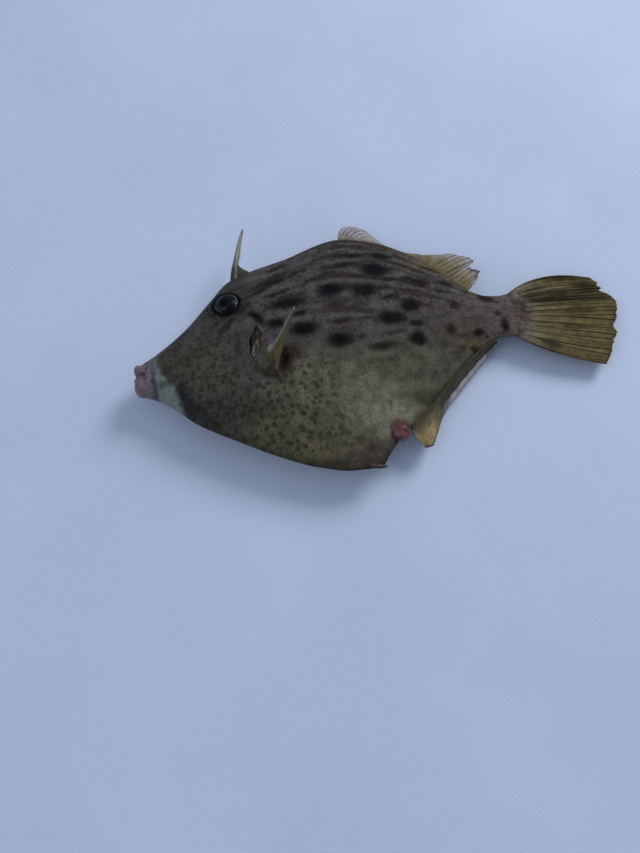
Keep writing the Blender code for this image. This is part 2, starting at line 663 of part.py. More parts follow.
def make_median_fins(parts):
    """Dorsal, anal and tail fin."""
    dorsal_root = edge_root(BACK, DORSAL_ROOT, DORSAL_GUIDES, 1)
    anal_root = edge_root(BELLY, ANAL_ROOT, ANAL_GUIDES, -1)

    def caudal_root(s):
        return (TAIL_X + GAP, CAUDAL_ROOT[0] + (CAUDAL_ROOT[1] - CAUDAL_ROOT[0]) * s, MID_HEIGHT[-1][1])

    fin("dorsal_fin", dorsal_root, DORSAL_GUIDES, DORSAL_RAYS, 4, parts, FIN_CREAM)
    fin("anal_fin", anal_root, ANAL_GUIDES, ANAL_RAYS, 4, parts, FIN_CREAM)
    fin("caudal_fin", caudal_root, CAUDAL_GUIDES, CAUDAL_RAYS, 6, parts, FIN_OLIVE,
        root_thickness=CAUDAL_ROOT_THICKNESS, branched=True)


def make_pectoral_fins(parts):
    """Left pectoral fin, erect and folded, and right one, pressed flat under the body."""
    (top_x, top_y), (low_x, low_y) = LEFT_PECTORAL_ROOT

    def left_root(s):
        x = top_x + (low_x - top_x) * s
        y = top_y + (low_y - top_y) * s
        return (x, y, flank_height(x, y, 1) + PECTORAL_RISE)

    fin("pectoral_fin_left", left_root, LEFT_PECTORAL_GUIDES, PECTORAL_RAYS, 4, parts, FIN_CREAM,
        root_thickness=LEFT_PECTORAL_THICKNESS)
    fin("pectoral_fin_right", right_root, right_guides(), PECTORAL_RAYS, 4, parts, FIN_CREAM,
        root_thickness=RIGHT_PECTORAL_THICKNESS)


def right_root(s):
    """Root of the right pectoral fin."""
    (top_x, top_y), (low_x, low_y) = RIGHT_PECTORAL_ROOT
    return (top_x + (low_x - top_x) * s, top_y + (low_y - top_y) * s, RIGHT_PECTORAL_HEIGHT)


def right_guides(extra=0.0):
    """Guide rays of the right pectoral fin, spread flat like a fan."""
    guides = []
    for s in (0.0, 0.25, 0.5, 0.75, 1.0):
        turn = RIGHT_PECTORAL_SPAN[0] + (RIGHT_PECTORAL_SPAN[1] - RIGHT_PECTORAL_SPAN[0]) * s
        reach = smooth(RIGHT_PECTORAL_LENGTHS, s) + extra
        root_x, root_y, height = right_root(s)
        tip = (root_x + reach * math.cos(turn), root_y + reach * math.sin(turn), height)
        bend = ((root_x + tip[0]) / 2, (root_y + tip[1]) / 2, height)
        guides.append((s, bend, tip))
    return guides


def recess(tools):
    """Shallow space that the right pectoral fin presses into the flank."""
    guides = right_guides(RECESS_MARGIN)
    first = Vector(right_root(0)) + Vector((-RECESS_MARGIN, RECESS_MARGIN, 0))
    last = Vector(right_root(1)) + Vector((-RECESS_MARGIN, -RECESS_MARGIN, 0))
    outline = [first] + [Vector(guide_point(right_root, guides, s / 10, 1.0)) for s in range(11)] + [last]
    outline[1] += Vector((0, RECESS_MARGIN, 0))
    outline[-2] += Vector((0, -RECESS_MARGIN, 0))
    shape = bmesh.new()
    corners = [shape.verts.new((place.x, place.y, RECESS_FLOOR)) for place in outline]
    floor = shape.faces.new(corners)
    raised = bmesh.ops.extrude_face_region(shape, geom=[floor])
    tops = [item for item in raised["geom"] if isinstance(item, bmesh.types.BMVert)]
    bmesh.ops.translate(shape, verts=tops, vec=(0, 0, RECESS_TOP - RECESS_FLOOR))
    bmesh.ops.recalc_face_normals(shape, faces=shape.faces)
    return add_object("recess", shape, tools)


def finish_parts(parts):
    """Centre the model on its own outline, scale it to metres, and shade the round pieces."""
    corners = [vert.co for obj in parts.objects for vert in obj.data.vertices]
    middle_x = (min(c.x for c in corners) + max(c.x for c in corners)) / 2
    middle_y = (min(c.y for c in corners) + max(c.y for c in corners)) / 2
    floor = min(c.z for c in corners)
    place = Matrix.Scale(MM, 4) @ Matrix.Translation((-middle_x, -middle_y, -floor))
    for obj in parts.objects:
        obj.data.transform(place)
        obj.data.shade_smooth()
        obj.data.set_sharp_from_angle(angle=math.radians(SHARP_ANGLE))


def main():
    """Build the fish."""
    for obj in list(bpy.data.objects):
        bpy.data.objects.remove(obj, do_unlink=True)
    parts = bpy.data.collections.new(MODEL_NAME)
    tools = bpy.data.collections.new(MODEL_NAME + "_cutters")
    bpy.context.scene.collection.children.link(parts)
    bpy.context.scene.collection.children.link(tools)
    body = body_loft(tools)
    make_lips(body, parts, tools)
    make_head(body, parts, tools)
    make_trunk(body, parts, tools)
    make_stalk(body, parts)
    remove_object(body)
    make_eyes(parts)
    make_gill_flaps(parts)
    make_spine(parts, tools)
    make_spine_web(parts)
    make_pelvic_spine(parts)
    make_vent(parts)
    make_median_fins(parts)
    make_pectoral_fins(parts)
    finish_parts(parts)


main()
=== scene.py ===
"""Looks of a life-size threadsail filefish that lies on its right flank.

One skin with lips, lids, nostrils and gill openings takes the place of the flesh, and finer fins,
spines, eyes and gill flaps take the place of the plain ones. All of it is modelled in the
fish's own frame, in millimetres: x runs from the mouth to the tail, y towards the back, and z
up from the floor. The model's frame is that one in metres, moved to the outline's middle.
"""
from __future__ import annotations

import logging
import math
from dataclasses import dataclass
from enum import Enum
from typing import Callable, Sequence

import bpy
import numpy as np
from mathutils import Matrix, Vector, noise

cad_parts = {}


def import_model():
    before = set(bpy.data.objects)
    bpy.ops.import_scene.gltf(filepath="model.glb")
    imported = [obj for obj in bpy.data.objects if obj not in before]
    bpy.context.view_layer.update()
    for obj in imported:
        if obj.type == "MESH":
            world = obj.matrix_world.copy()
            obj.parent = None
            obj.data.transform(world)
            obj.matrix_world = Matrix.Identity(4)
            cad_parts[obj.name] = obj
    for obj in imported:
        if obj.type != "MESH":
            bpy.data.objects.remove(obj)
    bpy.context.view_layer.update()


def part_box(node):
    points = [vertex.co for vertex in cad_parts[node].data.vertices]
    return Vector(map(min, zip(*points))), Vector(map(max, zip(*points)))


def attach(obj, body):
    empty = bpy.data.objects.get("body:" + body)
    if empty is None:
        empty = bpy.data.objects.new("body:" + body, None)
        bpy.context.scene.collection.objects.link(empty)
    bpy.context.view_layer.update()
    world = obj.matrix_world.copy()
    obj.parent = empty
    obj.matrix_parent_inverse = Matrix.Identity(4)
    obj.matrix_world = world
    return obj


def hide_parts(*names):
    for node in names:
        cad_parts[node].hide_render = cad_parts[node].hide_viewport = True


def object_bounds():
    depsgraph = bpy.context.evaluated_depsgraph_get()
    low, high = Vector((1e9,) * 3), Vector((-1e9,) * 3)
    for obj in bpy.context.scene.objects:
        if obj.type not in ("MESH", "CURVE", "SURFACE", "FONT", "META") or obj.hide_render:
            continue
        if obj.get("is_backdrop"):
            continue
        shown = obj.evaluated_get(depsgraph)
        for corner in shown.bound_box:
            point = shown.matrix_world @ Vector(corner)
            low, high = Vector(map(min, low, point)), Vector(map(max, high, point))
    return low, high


LOG = logging.getLogger("filefish")
BODY = "root"
MM = 0.001
SEED = 11

Pair = tuple[float, float]
Triple = tuple[float, float, float]
Outline = tuple[Pair, ...]
Colour = Triple
Guide = tuple[float, Triple, Triple]
Root = Callable[[float], Vector]
Piece = bpy.types.Object

DORSAL_ROOT: Pair = (119.4, 190.4)
DORSAL_RAYS = 34
ANAL_ROOT: Pair = (143.6, 200.0)
ANAL_RAYS = 33
# Across a fin from one ray to the next: the share of the way, the ridge's height, and that
# height past a fork.
RIDGE = ((0.0, 1.0, 0.35), (0.10, 0.8, 0.9), (0.20, 0.25, 0.6), (0.35, 0.0, 0.15),
         (0.5, 0.0, 0.5), (0.65, 0.0, 0.15), (0.80, 0.25, 0.6), (0.90, 0.8, 0.9))


class Side(Enum):
    """Flank of the fish: the left one faces up."""

    LEFT = 1
    RIGHT = -1


class Slot(Enum):
    """Material slots of the record."""

    SKIN = "skin"
    FLAP = "flap_skin"
    EYE = "eye"
    GILL = "gill"
    VENT = "vent"
    SPINE = "spine"
    FIN_CREAM = "fin_cream"
    FIN_OLIVE = "fin_olive"


def smooth(points: Outline, x: np.ndarray | float) -> np.ndarray:
    """Read a smooth curve through points, which never overshoots them.

    Args:
        points: the curve's points, in order of x.
        x: where to read it.

    Returns:
        The curve's value at each x.
    """
    table = np.asarray(points, float)
    xs, ys = table[:, 0], table[:, 1]
    steps = np.diff(xs)
    slopes = np.diff(ys) / steps
    turns = np.zeros_like(ys)
    turns[0], turns[-1] = slopes[0], slopes[-1]
    for i in range(1, len(xs) - 1):
        if slopes[i - 1] * slopes[i] > 0:
            first = 2 * steps[i] + steps[i - 1]
            second = steps[i] + 2 * steps[i - 1]
            turns[i] = (first + second) / (first / slopes[i - 1] + second / slopes[i])
    x = np.clip(x, xs[0], xs[-1])
    i = np.clip(np.searchsorted(xs, x, side="right") - 1, 0, len(steps) - 1)
    t = (x - xs[i]) / steps[i]
    start = (1 + 2 * t) * (1 - t) ** 2 * ys[i] + t * (1 - t) ** 2 * steps[i] * turns[i]
    end = t * t * (3 - 2 * t) * ys[i + 1] + t * t * (t - 1) * steps[i] * turns[i + 1]
    return start + end


def step(low: float, high: float, value: np.ndarray) -> np.ndarray:
    """Rise smoothly from 0 at low to 1 at high, or fall where low is above high.

    Args:
        low: the value that gives 0.
        high: the value that gives 1.
        value: what is read.

    Returns:
        A share from 0 to 1 for each value.
    """
    t = np.clip((value - low) / (high - low), 0.0, 1.0)
    return t * t * (3 - 2 * t)


def hump(value: np.ndarray, middle: float, width: float) -> np.ndarray:
    """Bell curve that is 1 at the middle."""
    return np.exp(-(((value - middle) / width) ** 2))


def rough(places: np.ndarray, size: float, octaves: int = 2) -> np.ndarray:
    """Read soft noise at places in space.

    Args:
        places: points in millimetres.
        size: how far apart its swellings are, in millimetres.
        octaves: how many finer layers it has.

    Returns:
        A value between about -1 and 1 for each place.
    """
    scaled = places / size
    return np.array([noise.fractal(Vector(p), 1.0, 2.0, octaves) for p in scaled])


def bars(x: np.ndarray, root: Pair, rays: int) -> np.ndarray:
    """Wave between 0 and 1 with its tops at the rays of a fin on that root."""
    return 0.5 + 0.5 * np.cos((x - root[0]) / (root[1] - root[0]) * (rays - 1) * 2 * math.pi)


def blend(colours: np.ndarray, target: Colour | np.ndarray, share: np.ndarray) -> np.ndarray:
    """Mix colours towards a target.

    Args:
        colours: one row for each vertex.
        target: one colour, or a row for each vertex.
        share: how much of the target each vertex gets.

    Returns:
        The mixed colours.
    """
    return colours + (np.asarray(target) - colours) * share[:, None]


def between(ends: Pair, share: float) -> float:
    """Number at a share of the way from one end to the other."""
    return ends[0] + (ends[1] - ends[0]) * share


@dataclass(frozen=True)
class BodyShape:
    """Form of the body as its solids have it, in the fish's millimetres."""

    back: Outline = ((0, 6.5), (4, 8.5), (13, 14), (28, 26.5), (42, 42.5), (53, 54.5), (64, 59.5),
                     (88, 67), (104, 73.7), (112, 76.3), (119, 77.4), (138, 73.7), (157, 63.5),
                     (176, 48.5), (190, 36.5), (201, 32.2), (207, 32), (214, 33.4))
    belly: Outline = ((0, -8), (4, -11.5), (14, -16.5), (33, -32), (52, -43), (73, -54), (93, -62),
                      (110, -65.5), (124, -65.5), (131, -57.5), (137, -50.5), (143, -45),
                      (155, -35), (170, -20), (185, -6), (197, 2), (205, 5), (214, 5))
    half_thickness: Outline = ((0, 4.4), (5, 5.4), (9, 5.6), (14, 7.2), (30, 10.5), (50, 14.5),
                               (70, 17.8), (90, 19), (115, 18.2), (140, 14.5), (165, 10.2),
                               (185, 7), (198, 5.2), (207, 4.2), (214, 2.0))
    mid_height: Outline = ((0, 15), (60, 16.5), (150, 16), (190, 13), (214, 11))
    keel: Outline = ((0, 0.1), (30, 0.5), (60, 0.6), (100, 0.85), (125, 0.9), (140, 0.7),
                     (170, 0.4), (214, 0.1))
    back_keel: float = 0.2
    nose: Pair = (-1.1, -1.0)
    nose_cap_x: float = 5.0
    nose_power: float = 2.6
    tail_x: float = 214.0

    def mid(self, x: np.ndarray | float) -> np.ndarray:
        """Height of the body's mid plane above the floor."""
        return smooth(self.mid_height, x)

    def share(self, x: np.ndarray, y: np.ndarray) -> np.ndarray:
        """Place between the belly, 0, and the back, 1."""
        low = smooth(self.belly, x)
        return np.clip((y - low) / (smooth(self.back, x) - low), 0.0, 1.0)

    def half(self, x: np.ndarray | float, v: np.ndarray | float) -> np.ndarray:
        """Half of the body's thickness at x and at a share v between belly and back."""
        rim = 2 * np.sqrt(v * (1 - v))
        thinning = (1 - smooth(self.keel, x) * (1 - v) ** 3) * (1 - self.back_keel * v ** 6)
        return smooth(self.half_thickness, x) * rim * thinning

    def height(self, x: float, y: float, side: Side) -> float:
        """Height of one flank's skin at (x, y)."""
        v = self.share(np.array(x), np.array(y))
        return float(np.maximum(self.mid(x) + side.value * self.half(x, v), 0.0))

    def frame(self, x: float, y: float, side: Side, sunk: float = 0.0, outward: float = 0.0) -> Matrix:
        """Set a frame on the skin, with its z axis out of the body and its x axis to the tail.

        Args:
            x: place along the fish.
            y: place towards the back.
            side: the flank.
            sunk: how far below the skin the frame is.
            outward: how far the z axis turns from the skin's normal to the fish's side.

        Returns:
            The frame's matrix, in millimetres.
        """
        reach = 0.5
        along_x = self.height(x + reach, y, side) - self.height(x - reach, y, side)
        along_y = self.height(x, y + reach, side) - self.height(x, y - reach, side)
        out = Vector((-side.value * along_x, -side.value * along_y, 2 * reach)).normalized() * side.value
        out = out.lerp(Vector((0, 0, side.value)), outward).normalized()
        along = Vector((1, 0, 0))
        along = (along - out * along.dot(out)).normalized()
        turned = Matrix((along, out.cross(along), out)).transposed().to_4x4()
        place = Vector((x, y, self.height(x, y, side))) - out * sunk
        return Matrix.Translation(place) @ turned


@dataclass(frozen=True)
class Place:
    """Where the fish's own frame lies in the model."""

    shift: Vector

    @classmethod
    def from_frame(cls, shape: BodyShape, eye: "EyeSize") -> "Place":
        """Find the shift from the left eye's solid, whose middle both frames know."""
        low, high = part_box("eye_left")
        own = shape.frame(*eye.at, Side.LEFT, eye.sunk, eye.outward).translation * MM
        return cls((low + high) / 2 - own)

    def settle(self, obj: Piece) -> None:
        """Bring a finished mesh from fish millimetres to the model's metres."""
        obj.data.transform(Matrix.Translation(self.shift) @ Matrix.Scale(MM, 4))
        obj.data.update()


def deselect() -> None:
    """Deselect every object."""
    bpy.ops.object.select_all(action="DESELECT")


def take(obj: Piece) -> None:
    """Make the object the only selected one, and active."""
    deselect()
    obj.select_set(True)
    bpy.context.view_layer.objects.active = obj


def added(name: str) -> Piece:
    """Name the primitive that was just added.

    Args:
        name: the name for the object and its mesh.

    Returns:
        The object.
    """
    obj = bpy.context.active_object
    obj.name = name
    obj.data.name = name
    return obj


def modify(obj: Piece, kind: str, **settings: object) -> None:
    """Add a modifier to the object and apply it.

    Args:
        obj: the object, which keeps its other modifiers.
        kind: the modifier's type.
        **settings: its properties.
    """
    take(obj)
    modifier = obj.modifiers.new(kind.lower(), kind)
    for key, value in settings.items():
        setattr(modifier, key, value)
    bpy.ops.object.modifier_apply(modifier=modifier.name)


def read(obj: Piece) -> np.ndarray:
    """Vertex places of a mesh, one row each."""
    flat = np.empty(len(obj.data.vertices) * 3)
    obj.data.vertices.foreach_get("co", flat)
    return flat.reshape(-1, 3)


def ball(name: str, segments: int, rings: int, turn: float = 0.0) -> tuple[Piece, np.ndarray]:
    """Add a ball of radius 1.

    Args:
        name: the object's name.
        segments: its divisions round the axis.
        rings: its divisions from pole to pole.
        turn: how far its axis turns about x, in radians.

    Returns:
        The object, and the places of its vertices.
    """
    deselect()
    bpy.ops.mesh.primitive_uv_sphere_add(segments=segments, ring_count=rings, radius=1.0,
                                         rotation=(turn, 0.0, 0.0))
    obj = added(name)
    bpy.ops.object.transform_apply(rotation=True)
    return obj, read(obj)


def spike(name: str, shape: BodyShape, path: Outline, radii: Sequence[float], sides: int,
          finer: int) -> Piece:
    """Extrude a closed spike along the body's mid plane.

    Args:
        name: the object's name.
        shape: the body, whose mid plane it follows.
        path: places along it, from root to tip.
        radii: its radius at each of them.
        sides: how many sides its first ring has.
        finer: how often it is divided and smoothed.

    Returns:
        The spike, in fish millimetres.
    """
    points = [Vector((x, y, float(shape.mid(x)))) for x, y in path]
    aim = (points[1] - points[0]).to_track_quat("Z", "Y").to_euler()
    deselect()
    bpy.ops.mesh.primitive_circle_add(vertices=sides, radius=radii[0], fill_type="NGON",
                                      location=points[0], rotation=aim)
    obj = added(name)
    bpy.ops.object.transform_apply(location=True, rotation=True)
    bpy.ops.object.mode_set(mode="EDIT")
    bpy.ops.mesh.select_all(action="SELECT")
    for start, end, before, after in zip(points, points[1:], radii, radii[1:]):
        bpy.ops.mesh.extrude_region_move(TRANSFORM_OT_translate={"value": end - start})
        bpy.ops.transform.resize(value=(after / before,) * 3, center_override=end)
    bpy.ops.mesh.select_all(action="SELECT")
    bpy.ops.mesh.normals_make_consistent(inside=False)
    bpy.ops.object.mode_set(mode="OBJECT")
    modify(obj, "SUBSURF", levels=finer, render_levels=finer)
    return obj


def write(obj: Piece, places: np.ndarray) -> None:
    """Move the vertices of a mesh."""
    obj.data.vertices.foreach_set("co", places.ravel())
    obj.data.update()


def paint(obj: Piece, name: str, values: np.ndarray) -> None:
    """Store a colour for each vertex.

    Args:
        obj: the mesh object.
        name: the attribute's name, as its material reads it.
        values: one row of three values for each vertex.
    """
    layer = obj.data.color_attributes.new(name, "FLOAT_COLOR", "POINT")
    rows = np.concatenate([values, np.ones((len(values), 1))], axis=1)
    layer.data.foreach_set("color", rows.ravel())


def unwrap(obj: Piece, name: str, values: np.ndarray) -> None:
    """Store a UV place for each vertex.

    Args:
        obj: the mesh object.
        name: the UV map's name.
        values: one row of two values for each vertex.
    """
    layer = obj.data.uv_layers.new(name=name)
    corners = np.empty(len(obj.data.loops), dtype=np.int32)
    obj.data.loops.foreach_get("vertex_index", corners)
    layer.data.foreach_set("uv", values[corners].ravel())


def to_local(places: np.ndarray, frame: Matrix) -> np.ndarray:
    """Places as a frame sees them."""
    back = np.array(frame.inverted())
    return places @ back[:3, :3].T + back[:3, 3]


def from_local(places: np.ndarray, frame: Matrix) -> np.ndarray:
    """Places that a frame sees, in the fish's frame."""
    own = np.array(frame)
    return places @ own[:3, :3].T + own[:3, 3]


def finish_piece(obj: Piece, place: Place, material: bpy.types.Material,
                 nodes: Sequence[str], sharp: float | None = None) -> Piece:
    """Shade a finished mesh, dress it and let it stand for its solids.

    Args:
        obj: the mesh, in fish millimetres.
        place: where the fish lies in the model.
        material: its finish.
        nodes: the solids that it stands for.
        sharp: the angle in degrees from which an edge stays sharp, or None.

    Returns:
        The same object, ready in the model.
    """
    place.settle(obj)
    take(obj)
    if sharp is None:
        bpy.ops.object.shade_smooth()
    else:
        bpy.ops.object.shade_smooth_by_angle(angle=math.radians(sharp))
    obj.data.materials.clear()
    obj.data.materials.append(material)
    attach(obj, BODY)
    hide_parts(*nodes)
    return obj


class Value:
    """Number, place or colour that a node gives. Plain signs do sums with it."""

    def __init__(self, sketch: Sketch, socket: bpy.types.NodeSocket) -> None:
        """Keep the sketch and the node's output."""
        self.sketch = sketch
        self.socket = socket

    def __add__(self, other: Value | float) -> Value:
        """Sum."""
        return self.sketch.maths("ADD", self, other)

    def __sub__(self, other: Value | float) -> Value:
        """Difference."""
        return self.sketch.maths("SUBTRACT", self, other)

    def __rsub__(self, other: float) -> Value:
        """Difference of a plain number and this one."""
        return self.sketch.maths("SUBTRACT", other, self)

    def __mul__(self, other: Value | float) -> Value:
        """Product."""
        return self.sketch.maths("MULTIPLY", self, other)

    def __truediv__(self, other: float) -> Value:
        """Quotient."""
        return self.sketch.maths("DIVIDE", self, other)

    def __pow__(self, other: float) -> Value:
        """Power."""
        return self.sketch.maths("POWER", self, other)

    def __abs__(self) -> Value:
        """Distance from 0."""
        return self.sketch.maths("ABSOLUTE", self)


class Sketch:
    """Node material drawn step by step."""

    def __init__(self, name: str) -> None:
        """Start a material with an empty Principled shader.

        Args:
            name: the material's name.
        """
        self.material = bpy.data.materials.new(name)
        self.material.use_nodes = True
        self.tree = self.material.node_tree
        self.shader = self.tree.nodes["Principled BSDF"]
        self.places = Value(self, self.tree.nodes.new("ShaderNodeTexCoord").outputs["Object"])

    def feed(self, socket: bpy.types.NodeSocket, value: Value | float | Triple) -> None:
        """Give a node's input what it reads.

        Args:
            socket: the input.
            value: an output to link, or a plain number, place or colour.
        """
        if isinstance(value, Value):
            self.tree.links.new(value.socket, socket)
        elif isinstance(value, tuple) and len(value) == 3 and socket.type == "RGBA":
            socket.default_value = (*value, 1.0)
        else:
            socket.default_value = value

    def add(self, kind: str, inputs: dict[str | int, object], **settings: object) -> list[Value]:
        """Add a node.

        Args:
            kind: its type.
            inputs: what each input gets, by the input's name or number.
            **settings: its properties.

        Returns:
            All its outputs.
        """
        node = self.tree.nodes.new(kind)
        for key, value in settings.items():
            setattr(node, key, value)
        for key, value in inputs.items():
            self.feed(node.inputs[key], value)
        return [Value(self, socket) for socket in node.outputs]

    def maths(self, operation: str, first: Value | float, second: Value | float = 0.0) -> Value:
        """Combine two numbers."""
        return self.add("ShaderNodeMath", {0: first, 1: second}, operation=operation)[0]

    def stretch(self, where: Value, scale: Triple) -> Value:
        """Scale the places that a pattern reads."""
        return self.add("ShaderNodeMapping", {"Vector": where, "Scale": scale})[0]

    def noise(self, where: Value, scale: float, detail: float = 2.0, distortion: float = 0.0) -> Value:
        """Soft noise between 0 and 1."""
        inputs = {"Vector": where, "Scale": scale, "Detail": detail, "Distortion": distortion}
        return self.add("ShaderNodeTexNoise", inputs)[0]

    def cells(self, where: Value, scale: float, kind: str = "3D") -> list[Value]:
        """Distance to scattered points, and a random colour for each point."""
        inputs = {"Vector": where, "Scale": scale}
        return self.add("ShaderNodeTexVoronoi", inputs, voronoi_dimensions=kind)[:2]

    def warp(self, where: Value, scale: float, amount: float) -> Value:
        """Shake the places that a pattern reads.

        Args:
            where: the places.
            scale: how fine the shaking is.
            amount: how far it goes, in metres.

        Returns:
            The shaken places.
        """
        bend = self.add("ShaderNodeTexNoise", {"Vector": where, "Scale": scale})[1]
        centred = self.add("ShaderNodeVectorMath", {0: bend, 1: (0.5,) * 3}, operation="SUBTRACT")[0]
        inputs = {0: centred, 1: (amount,) * 3, 2: where}
        return self.add("ShaderNodeVectorMath", inputs, operation="MULTIPLY_ADD")[0]

    def ramp(self, value: Value, low: float, high: float, start: float = 0.0, end: float = 1.0) -> Value:
        """Smooth step from start at low to end at high."""
        inputs = {"Value": value, "From Min": low, "From Max": high, "To Min": start, "To Max": end}
        return self.add("ShaderNodeMapRange", inputs, interpolation_type="SMOOTHSTEP")[0]

    def mix(self, share: Value, first: Value | Colour, second: Value | Colour) -> Value:
        """Mix two colours."""
        return self.add("ShaderNodeMix", {0: share, 6: first, 7: second}, data_type="RGBA")[2]

    def shade(self, colour: Value | Colour, value: Value) -> Value:
        """Multiply a colour by a number."""
        return self.add("ShaderNodeVectorMath", {0: colour, "Scale": value}, operation="SCALE")[0]

    def painted(self, name: str) -> tuple[Value, list[Value]]:
        """Painted colour of the mesh, whole and as its three parts."""
        whole = self.add("ShaderNodeAttribute", {}, attribute_name=name)[0]
        return whole, self.add("ShaderNodeSeparateColor", {0: whole})

    def parts(self, where: Value) -> list[Value]:
        """The three parts of a place."""
        return self.add("ShaderNodeSeparateXYZ", {0: where})

    def mapped(self, name: str) -> tuple[Value, Value, Value]:
        """UV map of the mesh, whole and as its two parts."""
        whole = self.add("ShaderNodeUVMap", {}, uv_map=name)[0]
        across, up, _ = self.parts(whole)
        return whole, across, up

    def done(self, colour: Value, roughness: Value | float, height: Value, depth: float,
             coat: float = 0.0, coat_roughness: float = 0.2, subsurface: float = 0.0,
             see_through: float = 0.0, gloss: float = 0.5) -> bpy.types.Material:
        """Join the pattern to the shader.

        Args:
            colour: base colour.
            roughness: roughness.
            height: relief from 0 to 1.
            depth: how deep that relief is, in metres.
            coat: weight of the wet film over the surface.
            coat_roughness: roughness of that film.
            subsurface: weight of the light that soaks in.
            see_through: weight of the light that passes a thin membrane.
            gloss: level of the plain reflection.

        Returns:
            The material.
        """
        inputs = {
            "Base Color": colour, "Roughness": roughness, "Specular IOR Level": gloss,
            "Coat Weight": coat, "Coat Roughness": coat_roughness,
            "Subsurface Weight": subsurface, "Subsurface Radius": (0.0012, 0.0007, 0.0005),
            "Subsurface Scale": 1.0, "Transmission Weight": see_through,
            "Normal": self.add("ShaderNodeBump", {"Distance": depth, "Height": height})[0],
        }
        for name, value in inputs.items():
            self.feed(self.shader.inputs[name], value)
        return self.material


@dataclass(frozen=True)
class Patch:
    """Soft patch of one ground colour on the flank."""

    x: float
    y: float
    long: float
    high: float
    colour: Colour
    weight: float = 1.0


@dataclass(frozen=True)
class Blotch:
    """Dark mark on the flank: its middle, length, width, tilt in degrees, darkness and redness."""

    x: float
    y: float
    long: float
    wide: float
    tilt: float
    dark: float
    red: float = 0.0

    def field(self, x: np.ndarray, y: np.ndarray) -> np.ndarray:
        """How strongly the mark covers each place."""
        return self.dark ** 0.65 * oval(self, x, y)


@dataclass(frozen=True)
class Tint:
    """Small coloured place on the left flank: its middle, length, width and tilt in degrees."""

    x: float
    y: float
    long: float
    wide: float
    tilt: float
    colour: Colour
    strength: float = 1.0


def oval(mark: Blotch | Tint, x: np.ndarray, y: np.ndarray) -> np.ndarray:
    """Draw the soft oval of a mark.

    Args:
        mark: the mark.
        x: places along the fish.
        y: places towards the back.

    Returns:
        For each place 1 inside the mark and 0 well outside.
    """
    turn = math.radians(mark.tilt)
    along = (x - mark.x) * math.cos(turn) + (y - mark.y) * math.sin(turn)
    across = (y - mark.y) * math.cos(turn) - (x - mark.x) * math.sin(turn)
    return step(2.0, 0.30, np.hypot(along / (mark.long / 2), across / (mark.wide / 2)))


GROUND = {
    "mauve upper flank": Patch(92, 38, 46, 24, (0.071, 0.065, 0.067)),
    "mauve rear flank": Patch(150, 35, 26, 18, (0.062, 0.053, 0.052)),
    "brown back": Patch(122, 70, 34, 8, (0.054, 0.043, 0.034)),
    "grey middle": Patch(112, 12, 34, 12, (0.080, 0.073, 0.071)),
    "green flank": Patch(150, -12, 22, 14, (0.098, 0.094, 0.068)),
    "rear flank": Patch(176, 12, 14, 14, (0.074, 0.064, 0.056)),
    "middle belly": Patch(100, -20, 26, 12, (0.142, 0.134, 0.094)),
    "yellow belly": Patch(131, -34, 17, 10, (0.228, 0.218, 0.160)),
    "low belly": Patch(85, -42, 26, 9, (0.112, 0.105, 0.066)),
    "cheek": Patch(45, 0, 16, 15, (0.074, 0.069, 0.056)),
    "gill cover": Patch(60, 8, 9, 14, (0.078, 0.076, 0.076)),
    "throat": Patch(50, -30, 20, 8, (0.050, 0.048, 0.040)),
    "snout": Patch(24, 10, 9, 10, (0.062, 0.058, 0.048)),
    "forehead": Patch(48, 42, 12, 9, (0.052, 0.052, 0.062)),
    "grey behind the gill": Patch(72, 8, 4, 7, (0.070, 0.074, 0.090), 2.0),
    "pale groove": Patch(66, -17, 5, 3, (0.100, 0.110, 0.102)),
    "tail stalk": Patch(204, 20, 9, 12, (0.090, 0.067, 0.065), 1.5),
    "end of the stalk": Patch(214, 20, 4, 14, (0.112, 0.090, 0.084), 1.5),
    "flap": Patch(118, -58, 15, 5, (0.082, 0.070, 0.055), 2.0),
    "lids": Patch(52, 33, 9, 9, (0.036, 0.037, 0.027), 3.0),
    "brow": Patch(50, 45, 9, 5, (0.038, 0.038, 0.034), 2.0),
    "dark throat": Patch(40, -29, 11, 6, (0.034, 0.035, 0.034), 1.6),
    "flap streak": Patch(98, -54, 15, 3, (0.128, 0.118, 0.066), 2.2),
    "base of the anal fin": Patch(160, -30, 16, 3.5, (0.066, 0.060, 0.034), 2.4),
    "base of the last rays": Patch(190, -2, 10, 3, (0.110, 0.088, 0.044), 1.5),
    "base of the dorsal fin": Patch(174, 51, 13, 2.5, (0.120, 0.102, 0.044), 2.0),
    "base of the first rays": Patch(128, 76, 12, 3, (0.085, 0.066, 0.040), 2.0),
}

PECTORAL_TINTS = {
    "flesh below the fin's base": Tint(73.6, -5.0, 4.6, 10.0, 4, (0.098, 0.094, 0.062), 0.8),
    "yellow skin of the fin's base": Tint(73.6, -4.6, 6.6, 9.0, 0, (0.130, 0.118, 0.066), 0.9),
    "pale edge of the fin's base": Tint(74.6, 0.3, 4.4, 2.6, 40, (0.250, 0.242, 0.212), 1.0),
    "red crease above the fin's base": Tint(71.4, 5.2, 4.6, 1.8, 62, (0.050, 0.026, 0.024), 0.8),
    "pink foot of the fin": Tint(74.8, -12.0, 3.2, 3.0, 0, (0.160, 0.100, 0.088), 0.7),
    "pale place behind the fin": Tint(85.5, 3.6, 8.5, 3.2, 15, (0.125, 0.120, 0.112), 0.6),
    "red place behind the fin": Tint(84.2, -3.4, 11.0, 8.0, 30, (0.040, 0.018, 0.015), 1.0),
    # Painted shade in the hollow behind the fin's base, under the fin.
    "painted shade behind the fin": Tint(79.8, -7.8, 7.4, 11.0, -10, (0.014, 0.005, 0.005), 1.0),
    "light place above the slit": Tint(62.4, 18.6, 6.0, 5.0, -50, (0.092, 0.094, 0.100), 0.6),
}

